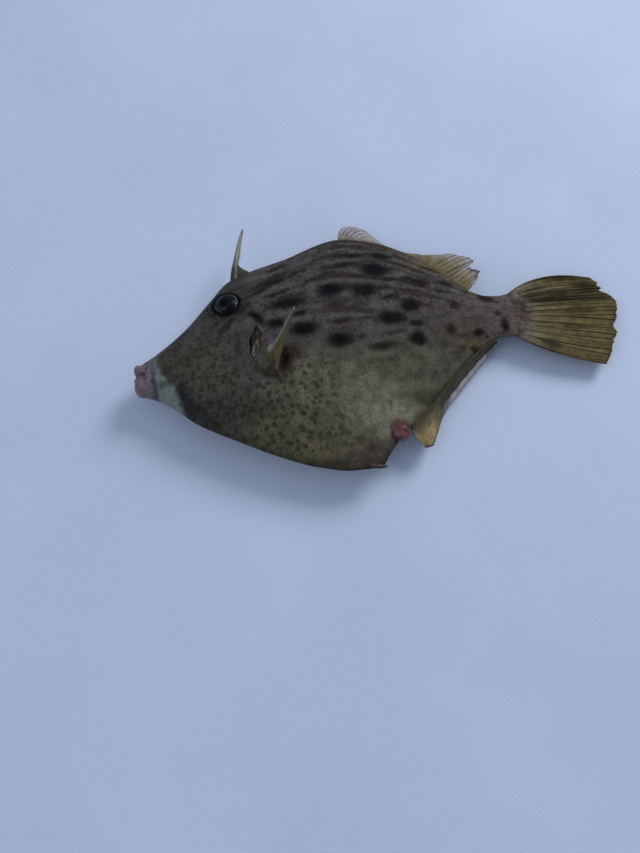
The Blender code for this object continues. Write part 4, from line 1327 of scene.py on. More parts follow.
    def paint_marks(self, obj: Piece, places: np.ndarray) -> None:
        """Paint the ground, the dark marks with the painted shade of the eye sockets, gill openings and
        nostrils, and the zones of the finer patterns.

        Args:
            obj: the skin.
            places: its smooth vertices.
        """
        x, y, z = places.T
        left = z > self.shape.mid(x)
        v = self.shape.share(x, y)
        draw = np.random.default_rng(SEED)
        cover = np.zeros(len(x))
        red = 0.5 * hump(x, 128.0, 42.0) * hump(y, 20.0, 22.0)
        bent = np.stack([1.2 * rough(places, 5.5), 0.8 * rough(places + 30.0, 4.5)], 1)
        for blotch in BLOTCHES:
            jitter = draw.normal(0.0, 1.6, 2)
            own_x = bent[:, 0] + np.where(left, x, x + jitter[0])
            own_y = bent[:, 1] + np.where(left, y, y + jitter[1])
            value = blotch.field(own_x, own_y)
            red = np.where((value > cover) & (value > 0.1), np.maximum(blotch.red, red * 0.2), red)
            cover = np.maximum(cover, value)
        # The marks' cover also carries painted shade round the eyes and in the gill openings and nostrils.
        cover = np.maximum(cover * step(8, 14, x), self.lids_and_hollow_shade(places))
        low = step(0.50, 0.36, v) * step(126, 92, x)
        cheek = step(26, 14, y) * step(60, 50, x)
        behind = x - smooth(self.band_rear, y)
        spotted = np.maximum(low, cheek * 0.9) * step(13, 22, x) * (0.35 + 0.65 * step(-58, -50, y))
        spotted = np.maximum(spotted, 0.75 * hump(np.hypot((x - 116) / 13, (y + 54) / 7), 0.0, 1.0))
        spotted *= step(0.0, 3.0, behind)
        streaky = 0.30 * step(46, 68, x) + 0.62 * step(78, 116, x)
        streaky *= step(0.49, 0.62, v) * step(205, 170, x) * step(1.0, 0.97, v)
        freckled = step(0.38, 0.60, v) * step(58, 72, x) * step(212, 190, x) * 0.8 + 0.04
        freckled = np.maximum(freckled, 0.34 * step(16, 30, x) * step(75, 45, x) + 0.9 * step(190, 203, x))
        paint(obj, "ground", self.ground_colours(places))
        paint(obj, "marks", np.stack([cover, red, spotted], 1))
        paint(obj, "zones", np.stack([streaky, freckled, step(1.0, -0.6, behind)], 1))
        top = max(height for _, height in self.shape.back)
        down = y - (smooth(self.shape.back, x) - top) * np.clip(y / 70.0, 0.0, 1.0)
        flow = np.stack([x + np.where(left, 0.0, self.other_flank), down], 1)
        unwrap(obj, "flow", flow * MM)

    def build(self) -> Piece:
        """Model and dress the skin.

        Returns:
            The skin, ready in the model.
        """
        obj = self.lay_body()
        eyes = [self.shape.frame(*self.eye.at, side).translation for side in Side]
        slits = [self.shape.frame(*self.slit_at, side).translation for side in Side]
        for centres, reach in ((eyes, 14.5), (eyes, 10.6), (slits, 11.5), (slits, 10.8)):
            self.refine(obj, centres, reach)
        places = read(obj)
        write(obj, self.sculpt(places))
        self.paint_marks(obj, places)
        nodes = ("lip_upper", "lip_lower", "head", "trunk", "pelvic_flap", "tail_stalk")
        return finish_piece(obj, self.place, self.finish.material(), nodes)


@dataclass(frozen=True)
class EyeFinish:
    """Clouded eye: dark green pupil, grey-blue iris and a pale broken ring, which is partly the iris's pale
    edge and partly a painted highlight on its right.
    """

    pupil: Colour = (0.0035, 0.0065, 0.007)
    cloud: Colour = (0.040, 0.046, 0.068)
    iris: Colour = (0.010, 0.012, 0.012)
    pale: Colour = (0.150, 0.155, 0.150)
    rim: Colour = (0.006, 0.007, 0.008)

    def material(self) -> bpy.types.Material:
        """Draw the eye in its own round map.

        Returns:
            A glossy material that reads the map named disk, with the pupil in its middle.
        """
        s = Sketch("filefish_eye")
        _, across, up = s.mapped("disk")
        fleck = s.noise(s.places, 900.0, 4.0)
        radius = s.maths("SQRT", across ** 2.0 + up ** 2.0) + (fleck - 0.5) * 0.10
        colour = s.mix(s.ramp(across + up * 0.4, -0.6, 0.4), self.cloud, self.iris)
        colour = s.mix(s.ramp(s.noise(s.places, 420.0, 4.0), 0.42, 0.62, 0.0, 0.80), colour, self.pupil)
        shifted = (across + 0.10) ** 2.0 + (up + 0.16) ** 2.0
        colour = s.mix(s.ramp(shifted, 0.26, 0.04), colour, self.pupil)
        colour = s.mix(s.ramp(radius, 0.70, 0.76), colour, self.rim)
        # Partly the iris's pale edge and partly a painted highlight on its right.
        pale_rim_and_glint = s.ramp(radius, 0.76, 0.80) * s.ramp(radius, 0.93, 0.89)
        right = s.ramp(across + up * 0.25, 0.35, 0.80, 0.0, 0.9)
        low_left = s.ramp(across + up * 0.5, -0.62, -0.95, 0.0, 0.7)
        broken = (right + low_left) * s.ramp(fleck, 0.40, 0.60, 0.35, 1.0)
        colour = s.mix(pale_rim_and_glint * broken, colour, self.pale)
        colour = s.mix(s.ramp(radius, 0.90, 0.95), colour, self.rim)
        return s.done(colour, 0.35, fleck, 0.00005, coat=0.06, coat_roughness=0.04, gloss=0.02)


@dataclass
class Eye:
    """One low, round eye with a clear bulge over its pupil."""

    shape: BodyShape
    place: Place
    size: EyeSize
    side: Side
    segments: int = 64
    rings: int = 40
    bulge: float = 0.35

    def build(self, material: bpy.types.Material) -> Piece:
        """Model and dress the eye.

        Args:
            material: its finish.

        Returns:
            The eye, ready in the model.
        """
        side = self.side.name.lower()
        obj, unit = ball("eye_ball_" + side, self.segments, self.rings)
        x, y, z = unit.T
        unwrap(obj, "disk", np.stack([x, y + np.where(z < 0, 4.0, 0.0)], 1))
        radius = np.hypot(x, y)
        own = unit * np.array(self.size.radii)
        bulge = self.bulge * step(0.55, 0.1, radius) - 0.22 * hump(radius, 0.72, 0.07)
        own[:, 2] += np.where(z > 0, bulge, 0.0)
        frame = self.shape.frame(*self.size.at, self.side, self.size.sunk, self.size.outward)
        write(obj, from_local(own, frame))
        return finish_piece(obj, self.place, material, ("eye_" + side,))


@dataclass(frozen=True)
class FleshFinish:
    """Moist bare flesh, in two tones that a slow pattern mixes."""

    name: str
    light: Colour
    deep: Colour
    scale: float = 500.0
    roughness: float = 0.3
    wet: float = 0.5

    def material(self) -> bpy.types.Material:
        """Draw the flesh.

        Returns:
            The material.
        """
        s = Sketch(self.name)
        share = s.ramp(s.noise(s.places, self.scale, 4.0), 0.35, 0.65)
        colour = s.mix(share, self.deep, self.light)
        veins, _ = s.cells(s.warp(s.places, 500.0, 0.001), 700.0)
        colour = s.mix(s.ramp(veins, 0.45, 0.70, 0.0, 0.35), colour, self.light)
        return s.done(colour, self.roughness, s.noise(s.places, 1300.0, 2.0), 0.0002, coat=self.wet,
                      coat_roughness=0.12, subsurface=0.15)


@dataclass(frozen=True)
class GillFinish:
    """Moist flap, mauve above and cream-yellow below, with a red line between the two and painted shade along
    its sides.
    """

    mauve: Colour = (0.036, 0.025, 0.025)
    cream: Colour = (0.135, 0.124, 0.084)
    red: Colour = (0.060, 0.020, 0.014)
    dark: Colour = (0.016, 0.011, 0.011)

    def material(self) -> bpy.types.Material:
        """Draw the flap.

        Returns:
            A material that reads the map named flap, which runs along and across it.
        """
        s = Sketch("filefish_gill_flap")
        _, along, across = s.mapped("flap")
        border = along + s.noise(s.places, 450.0, 3.0) * 0.45 - across * 0.55
        colour = s.mix(s.ramp(border, 0.05, 0.30), self.cream, self.mauve)
        line = s.ramp(border, 0.10, 0.30) * s.ramp(border, 0.75, 0.40)
        colour = s.mix(line * s.ramp(across, -0.4, 0.5), colour, self.red)
        lines = s.noise(s.stretch(s.places, (700.0, 130.0, 700.0)), 1.0, 3.0)
        colour = s.shade(colour, s.ramp(lines, 0.35, 0.65, 0.45, 1.35))
        # Painted shade along the flap's sides, where it sinks into the slit.
        colour = s.mix(s.ramp(abs(across), 0.55, 0.95) * 0.85, colour, self.dark)
        return s.done(colour, 0.38, s.noise(s.places, 1500.0, 2.0), 0.00015, subsurface=0.1, gloss=0.05)


@dataclass
class GillFlap:
    """Narrow swollen flap that nearly closes a gill slit."""

    skin: Skin
    side: Side
    radii: Triple = (2.7, 9.0, 1.35)
    shift: float = 0.25
    sunk: Pair = (0.9, 1.4)

    def build(self, material: bpy.types.Material) -> Piece:
        """Model and dress the flap.

        Args:
            material: its finish.

        Returns:
            The flap, ready in the model.
        """
        side = self.side.name.lower()
        obj, unit = ball("gill_membrane_" + side, 40, 28, math.pi / 2)
        x, y, _ = unit.T
        unwrap(obj, "flap", np.stack([y, x], 1))
        own = unit * np.array(self.radii)
        own[:, 0] *= np.sqrt(np.maximum(1 - y ** 2, 0.0)) * 0.6 + 0.4
        own[:, 2] += 0.34 * np.sin(x * 8.0 + y * 2.5) * (1 - y ** 2)
        own[:, 0] -= 0.30 * np.sin(own[:, 1] * 0.8 + 0.6)
        depth = self.sunk[0] if self.side is Side.LEFT else self.sunk[1]
        own += (self.shift, 0.0, -depth)
        write(obj, from_local(own, self.skin.slit_frame(self.side)))
        return finish_piece(obj, self.skin.place, material, ("gill_flap_" + side,))


@dataclass
class Vent:
    """Swollen, lobed vent between the flap and the anal fin."""

    skin: Skin
    radii: Triple = (5.5, 5.6, 4.7)

    def build(self) -> Piece:
        """Model and dress the vent.

        Returns:
            The vent, ready in the model.
        """
        deselect()
        bpy.ops.mesh.primitive_ico_sphere_add(subdivisions=5, radius=1.0)
        obj = added("vent_bulb")
        unit = read(obj)
        x, y, z = unit.T
        folds = 0.05 * np.sin(5.0 * np.arctan2(y, z) + 3.0 * x) * (1 - x ** 2)
        size = 0.93 + folds + 0.05 * rough(unit * 4.0, 2.0) + 0.02 * rough(unit * 4.0, 0.7)
        write(obj, unit * np.array(self.radii) * size[:, None] + np.array(self.skin.vent_at))
        finish = FleshFinish("filefish_vent", (0.190, 0.060, 0.066), (0.050, 0.011, 0.015), 260.0, 0.30, 0.25)
        return finish_piece(obj, self.skin.place, finish.material(), ("vent",))


@dataclass(frozen=True)
class BoneFinish:
    """Dry cream bone, mottled brown towards its root and dark at its tip."""

    name: str = "filefish_spine"
    cream: Colour = (0.262, 0.258, 0.212)
    brown: Colour = (0.044, 0.040, 0.031)
    root_y: float = 55.0
    tip_y: float = 92.7

    def material(self, place: Place) -> bpy.types.Material:
        """Draw the bone.

        Args:
            place: where the fish lies in the model.

        Returns:
            A material that changes from root to tip.
        """
        s = Sketch(self.name)
        _, up, _ = s.parts(s.places)
        y = (up - place.shift.y) * (1 / MM)
        fleck = s.noise(s.places, 380.0, 3.0)
        low = s.ramp(y + fleck * 16.0, self.root_y + 14, self.root_y + 27)
        colour = s.mix(low, self.brown, self.cream)
        lines = s.noise(s.stretch(s.places, (1500.0, 90.0, 1500.0)), 1.0, 2.0)
        colour = s.shade(colour, s.ramp(lines, 0.3, 0.7, 0.75, 1.15))
        colour = s.mix(s.ramp(y, self.tip_y - 7, self.tip_y - 1) * 0.75, colour, self.brown)
        return s.done(colour, s.ramp(fleck, 0.3, 0.7, 0.4, 0.6), lines, 0.0001, subsurface=0.1)


@dataclass
class DorsalSpine:
    """Tall back spine with two rows of small barbs down its rear edge."""

    shape: BodyShape
    place: Place
    path: Outline = ((56.2, 47.8), (56.4, 50.5), (56.6, 56.5), (57.1, 62), (58.3, 69), (60.4, 79.5),
                     (62.3, 87.0), (63.9, 92.7))
    radii: tuple[float, ...] = (2.0, 2.2, 2.5, 2.2, 1.75, 1.3, 0.85, 0.32)
    barbs: int = 15
    barb_from: float = 72.0
    barb_to: float = 90.0
    barb_length: float = 1.25

    def along(self, y: np.ndarray | float, values: Sequence[float]) -> np.ndarray:
        """Read values that belong to the path's points, at a height along the spine."""
        return np.interp(y, [point[1] for point in self.path], values)

    def middle(self, y: np.ndarray | float) -> np.ndarray:
        """Read the x of the spine's middle at a height along it."""
        return self.along(y, [point[0] for point in self.path])

    def shaft(self) -> Piece:
        """Shape the shaft, with a shallow groove down its rear edge.

        Returns:
            A closed shaft.
        """
        obj = spike("dorsal_spine_bone", self.shape, self.path, self.radii, 20, 2)
        places = read(obj)
        across = places[:, 0] - self.middle(places[:, 1])
        places[:, 0] -= 0.25 * hump(places[:, 2], float(self.shape.mid(58.0)), 0.5) * step(0.3, 0.9, across)
        write(obj, places)
        return obj

    def barb(self, y: float, side: Side, length: float) -> Piece:
        """Set one barb on the rear edge.

        Args:
            y: its height along the spine.
            side: the row that it belongs to.
            length: how far it stands out.

        Returns:
            A closed cone.
        """
        x = float(self.middle(y))
        radius = float(self.along(y, self.radii))
        mid = float(self.shape.mid(x))
        root = Vector((x + radius * 0.2, y, mid + side.value * radius * 0.3))
        reach = radius + length
        tip = Vector((x + reach * 0.75, y - length * 0.7, mid + side.value * reach * 0.6))
        aim = (tip - root).to_track_quat("Z", "Y").to_euler()
        deselect()
        bpy.ops.mesh.primitive_cone_add(vertices=8, radius1=0.42, radius2=0.05, depth=(tip - root).length,
                                        location=(root + tip) / 2, rotation=aim)
        obj = added("barb")
        bpy.ops.object.transform_apply(location=True, rotation=True)
        return obj

    def build(self) -> Piece:
        """Model and dress the spine.

        Returns:
            The spine, ready in the model.
        """
        obj = self.shaft()
        barbs = []
        for index, y in enumerate(np.linspace(self.barb_from, self.barb_to, self.barbs)):
            for side in Side:
                barbs.append(self.barb(float(y), side, self.barb_length * (1 - 0.035 * index)))
        take(obj)
        for piece in barbs:
            piece.select_set(True)
        bpy.ops.object.join()
        material = BoneFinish().material(self.place)
        return finish_piece(obj, self.place, material, ("dorsal_spine",), 50)


@dataclass
class PelvicSpine:
    """Short rough spine at the end of the pelvis."""

    shape: BodyShape
    place: Place
    path: Outline = ((118.0, -63.4), (120.6, -64.0), (124.6, -65.0), (128.4, -65.1))
    radii: tuple[float, ...] = (1.0, 1.2, 1.25, 0.35)

    def build(self) -> Piece:
        """Model and dress the spine.

        Returns:
            The spine, ready in the model.
        """
        obj = spike("pelvic_spine_bone", self.shape, self.path, self.radii, 16, 3)
        places = read(obj)
        places[:, 2] += 0.10 * rough(places, 0.8)
        places[:, 1] += 0.10 * rough(places + 9.0, 0.8)
        write(obj, places)
        finish = FleshFinish("filefish_pelvic_spine", (0.056, 0.046, 0.034), (0.026, 0.022, 0.018),
                             900.0, 0.6, 0.0)
        return finish_piece(obj, self.place, finish.material(), ("pelvic_spine",))


@dataclass(frozen=True)
class Tone:
    """Colours of a membrane at its root, in its middle and at its edge."""

    root: Colour
    middle: Colour
    edge: Colour


@dataclass(frozen=True)
class Dusk:
    """Darker place of a fin: counted in rays, share from root to edge, half sizes and strength."""

    ray: float
    out: float
    rays_wide: float
    long: float
    strength: float

    def away(self, count: Value, w: Value) -> Value:
        """Square of the distance from its middle, 1 at its half sizes."""
        return ((count - self.ray) / self.rays_wide) ** 2.0 + ((w - self.out) / self.long) ** 2.0


@dataclass(frozen=True)
class FinFinish:
    """Thin membrane between rays: its colours from root to edge and its ray lines."""

    name: str
    tone: Tone
    ray: Colour
    front: Tone | None = None
    front_until: float = 0.0
    forks: tuple[Pair, ...] = ()
    line_width: float = 0.16
    line_dark: float = 0.75
    line_from: float = 0.25
    line_span: Pair = (0.02, 0.30)
    middle_at: float = 0.45
    edge_at: float = 0.95
    edge_dark: float = 0.5
    hem_from: float = 0.93
    shake: float = 0.25
    rear_lines: float = 1.0
    seam: float | None = None
    mottle: float = 0.25
    roughness: float = 0.5
    see_through: float = 0.12
    gloss: float = 0.08
    lead: Colour | None = None
    low: Colour | None = None
    low_rays: Pair = (8.8, 10.8)
    dusks: tuple[Dusk, ...] = ()
    flesh: Colour | None = None
    flesh_reach: float = 0.16
    stain: Colour = (0.052, 0.038, 0.024)
    stain_at: Dusk = Dusk(4.2, 0.13, 1.8, 0.045, 0.75)
    rays: int = 12

    def toned(self, s: Sketch, tone: Tone, shaky: Value) -> Value:
        """Blend one tone from root to edge."""
        colour = s.mix(s.ramp(shaky, 0.0, self.middle_at), tone.root, tone.middle)
        return s.mix(s.ramp(shaky, self.middle_at, self.edge_at), colour, tone.edge)

    def material(self) -> bpy.types.Material:
        """Draw the membrane.

        Returns:
            A material that reads the map named rays: rays counted across, and root to tip.
        """
        s = Sketch(self.name)
        rays, count, w = s.mapped("rays")
        cloud = s.noise(s.places, 260.0, 4.0)
        shaky = w + (cloud - 0.5) * self.shake
        colour = self.toned(s, self.tone, shaky)
        if self.front:
            back = s.ramp(count + cloud, self.front_until - 1.5, self.front_until + 2.5)
            colour = s.mix(back, self.toned(s, self.front, shaky), colour)
        if self.low:
            low = s.ramp(count, *self.low_rays, 0.0, 0.6) * s.ramp(w, 0.4, 0.9)
            colour = s.mix(low, colour, self.low)
        strands = s.noise(s.stretch(rays, (4.0, 0.9, 1.0)), 1.0, 3.0)
        for pattern, mottle in ((strands, self.mottle), (cloud, self.mottle * 0.7)):
            colour = s.shade(colour, s.ramp(pattern, 0.3, 0.7, 1 - mottle, 1 + mottle))
        place = abs(s.maths("FRACT", count + 0.5) - 0.5)
        for start, spread in self.forks:
            place = abs(place - s.maths("MAXIMUM", w - start, 0.0) * (spread / (1 - start)))
        line = s.ramp(place, self.line_width, self.line_width * 0.3)
        uneven = s.ramp(s.noise(s.stretch(rays, (1.7, 1.3, 1.0)), 1.0, 2.0), 0.30, 0.62, 0.45, 1.0)
        strength = line * s.ramp(w, *self.line_span, self.line_from, self.line_dark)
        if self.front:
            strength *= s.ramp(count, self.front_until - 1.0, self.front_until + 2.0, 1.0, self.rear_lines)
        colour = s.mix(strength * uneven, colour, self.ray)
        if self.lead:
            colour = s.mix(s.ramp(count, 2.6, 0.8, 0.0, 0.85), colour, self.lead)
        if self.seam:
            stripe = s.ramp(abs(shaky - self.seam), 0.07, 0.02, 0.0, 0.8)
            rear = s.ramp(count, self.front_until + 1.0, self.front_until + 4.0)
            colour = s.mix(stripe * rear, colour, self.ray)
        for dusk in self.dusks:
            away = dusk.away(count, w) + (strands - 0.5) * 3.0
            colour = s.mix(s.ramp(away, 1.3, 0.1, 0.0, dusk.strength), colour, self.ray)
        colour = s.mix(s.ramp(w, self.hem_from, 1.0) * self.edge_dark, colour, self.ray)
        if self.flesh:
            bulge = 1.0 - (count * (2.0 / (self.rays - 1)) - 1.0) ** 2.0
            border = shaky - bulge * (self.flesh_reach * 0.65)
            flesh = s.ramp(border, self.flesh_reach * 0.35 + 0.10, self.flesh_reach * 0.35 - 0.07)
            skin = s.shade(self.flesh, s.ramp(cloud, 0.3, 0.7, 0.55, 1.35))
            away = self.stain_at.away(count, w)
            skin = s.mix(s.ramp(away, 1.5, 0.2, 0.0, self.stain_at.strength), skin, self.stain)
            colour = s.mix(flesh, colour, skin)
        relief = s.noise(s.places, 1600.0, 2.0) + line * 0.6
        return s.done(colour, self.roughness, relief, 0.00012, subsurface=0.1,
                      see_through=self.see_through, gloss=self.gloss)


@dataclass
class Fin:
    """Fin whose rays are ridges of one thin membrane, between guide rays from root to tip."""

    name: str
    nodes: tuple[str, ...]
    slot: Slot
    finish: FinFinish
    root: Root
    guides: tuple[Guide, ...]
    rays: int
    rows: int = 22
    forks: tuple[float, ...] = ()
    web: float = 0.30
    ray: float = 0.75
    root_thickness: float = 1.0
    root_run: float = 0.08
    inward: float = 1.2
    notch: float = 0.035
    ragged: float = 0.02
    ripple: float = 0.25
    tears: tuple[Pair, ...] = ()
    lead: float = 0.0
    round_root: bool = False

    def columns(self) -> list[Triple]:
        """Lay out the columns across the fin.

        Returns:
            For each column its place counted in rays, its ridge from 0 to 1 and, past the
            forks, its ridge there.
        """
        rows = []
        for ray in range(self.rays - 1):
            for share, ridge, forked in RIDGE:
                rows.append((ray + share, ridge, forked if self.forks else ridge))
        rows.append((self.rays - 1.0, 1.0, 1.0))
        return rows

    def curve(self, s: np.ndarray, w: np.ndarray) -> np.ndarray:
        """Find places on the fin.

        Args:
            s: shares of the way along its root.
            w: shares of the way along the rays.

        Returns:
            The place for each pair of shares.
        """
        def guided(part: int) -> np.ndarray:
            """Middles (1) or tips (2) that the guide rays give at the shares."""
            rows = [[(guide[0], guide[part][axis]) for guide in self.guides] for axis in range(3)]
            return np.stack([smooth(row, s) for row in rows], 1)

        starts = np.array([self.root(float(share)) for share in s])
        w = w[:, None]
        return starts * (1 - w) ** 2 + guided(1) * (2 * w * (1 - w)) + guided(2) * w * w

    def build(self, place: Place) -> Piece:
        """Model and dress the fin.

        Args:
            place: where the fish lies in the model.

        Returns:
            The fin, ready in the model.
        """
        columns = self.columns()
        last = len(columns) - 1
        deselect()
        bpy.ops.mesh.primitive_grid_add(x_subdivisions=last, y_subdivisions=self.rows, size=2.0)
        obj = added(self.name)
        flat = read(obj)
        column = np.rint((flat[:, 0] + 1) / 2 * last).astype(int)
        row = np.rint((flat[:, 1] + 1) / 2 * self.rows).astype(int)
        table = np.array(columns)
        count = table[column, 0]
        w = row / self.rows
        draw = np.random.default_rng(SEED + self.rays)
        uneven = draw.normal(0.0, self.ragged, last + 1)
        uneven = np.convolve(uneven, (0.25, 0.5, 0.25), mode="same")
        ridge = table[column, 1]
        between = 1 - ridge
        for at, depth in self.tears:
            between = between + depth / self.notch * hump(count, at, 0.35)
        reach = 1 - self.notch * between - np.abs(uneven[column])
        share = count / (self.rays - 1)
        places = self.curve(share, w * reach)
        down = self.curve(share, np.full_like(w, 0.02)) - self.curve(share, np.zeros_like(w))
        down /= np.linalg.norm(down, axis=1)[:, None]
        places -= down * (self.inward * np.maximum(1 - w * self.rows, 0.0))[:, None]
        wave = np.sin(count * 2.1 + w * 4.0) + 0.6 * np.sin(count * 0.83 - w * 2.5 + 1.0)
        places[:, 2] += self.ripple * wave * step(0.1, 0.6, w)
        for fork in self.forks:
            past = step(fork, fork + 0.12, w)
            ridge = ridge * (1 - past) + table[column, 2] * past
        thick = self.web + (self.ray * (1 - 0.5 * w) - self.web) * ridge
        thick = np.maximum(thick, self.web) + self.lead * step(1.6, 0.4, count) * (1 - 0.5 * w)
        if self.round_root:
            root = self.root_thickness * np.sqrt(1 - 0.93 * (2 * share - 1) ** 2)
            fade = np.exp(-3.0 * w / self.root_run)
        else:
            root = self.root_thickness
            fade = step(self.root_run, 0.0, w)
        thick += (root - thick) * fade
        write(obj, places)
        unwrap(obj, "rays", np.stack([count, w], 1))
        take(obj)
        bpy.ops.object.mode_set(mode="EDIT")
        bpy.ops.mesh.select_all(action="SELECT")
        bpy.ops.mesh.quads_convert_to_tris(quad_method="BEAUTY", ngon_method="BEAUTY")
        bpy.ops.object.mode_set(mode="OBJECT")
        group = obj.vertex_groups.new(name="thickness")
        top = float(thick.max())
        for index, weight in enumerate(thick / top):
            group.add([index], float(weight), "REPLACE")
        modify(obj, "SOLIDIFY", thickness=top, offset=0.0, vertex_group=group.name, use_rim=True)
        return finish_piece(obj, place, self.finish.material(), self.nodes)


DORSAL_FINISH = FinFinish(
    "filefish_dorsal_fin", Tone((0.120, 0.098, 0.034), (0.24, 0.205, 0.105), (0.42, 0.38, 0.37)),
    (0.050, 0.030, 0.034), Tone((0.26, 0.23, 0.19), (0.44, 0.42, 0.45), (0.50, 0.49, 0.54)), 13.0,
    line_width=0.17, line_dark=0.88, line_from=0.10, middle_at=0.34, edge_dark=0.35, mottle=0.22,
    see_through=0.15, dusks=(Dusk(31.0, 0.97, 2.0, 0.16, 0.8), Dusk(12.0, 0.8, 1.4, 0.5, 0.6)))
# The anal fin's dark root tone is partly the olive skin of its base and partly painted shade under the
# belly's edge.
ANAL_FINISH = FinFinish(
    "filefish_anal_fin", Tone((0.060, 0.055, 0.032), (0.080, 0.072, 0.046), (0.44, 0.41, 0.42)),
    (0.032, 0.025, 0.024), Tone((0.080, 0.072, 0.038), (0.195, 0.166, 0.090), (0.35, 0.27, 0.13)),
    11.0, line_width=0.13, line_dark=0.45, line_from=0.0, line_span=(0.30, 0.70), middle_at=0.40,
    edge_at=0.54, edge_dark=0.95, hem_from=0.88, shake=0.09, rear_lines=0.15, seam=0.44, mottle=0.20,
    see_through=0.05, dusks=(Dusk(10.5, 0.60, 3.2, 0.60, 0.70), Dusk(30.0, 0.6, 4.0, 0.6, 0.6)))
TAIL_FINISH = FinFinish(
    "filefish_tail_fin", Tone((0.215, 0.205, 0.152), (0.140, 0.122, 0.060), (0.142, 0.114, 0.052)),
    (0.015, 0.0135, 0.008), forks=((0.06, 0.25),), line_width=0.09, line_dark=0.92, line_from=0.0,
    middle_at=0.42, edge_dark=0.25, mottle=0.34, see_through=0.0, gloss=0.02, roughness=0.65,
    low=(0.155, 0.112, 0.048), flesh=(0.110, 0.088, 0.080), flesh_reach=0.20,
    dusks=(Dusk(1.9, 0.24, 0.8, 0.16, 0.75), Dusk(2.9, 0.42, 0.6, 0.30, 0.85),
           Dusk(3.1, 0.78, 0.7, 0.30, 0.75), Dusk(1.5, 0.86, 1.0, 0.18, 0.95),
           Dusk(1.9, 0.56, 0.5, 0.24, 0.75), Dusk(0.1, 0.66, 0.5, 0.26, 0.75),
           Dusk(5.2, 0.66, 1.1, 0.14, 0.50), Dusk(7.6, 0.62, 1.0, 0.14, 0.40),
           Dusk(10.2, 0.42, 0.7, 0.12, 0.50)))
PECTORAL_FINISH = FinFinish(
    "filefish_pectoral_fin", Tone((0.165, 0.148, 0.072), (0.165, 0.147, 0.062), (0.118, 0.110, 0.108)),
    (0.110, 0.088, 0.045), line_width=0.2, line_dark=0.5, edge_dark=0.1, see_through=0.1,
    lead=(0.33, 0.31, 0.26))
WEB_FINISH = FinFinish(
    "filefish_spine_skin", Tone((0.066, 0.060, 0.050), (0.090, 0.080, 0.064), (0.135, 0.122, 0.098)),
    (0.055, 0.048, 0.036), line_dark=0.4, edge_dark=0.4)


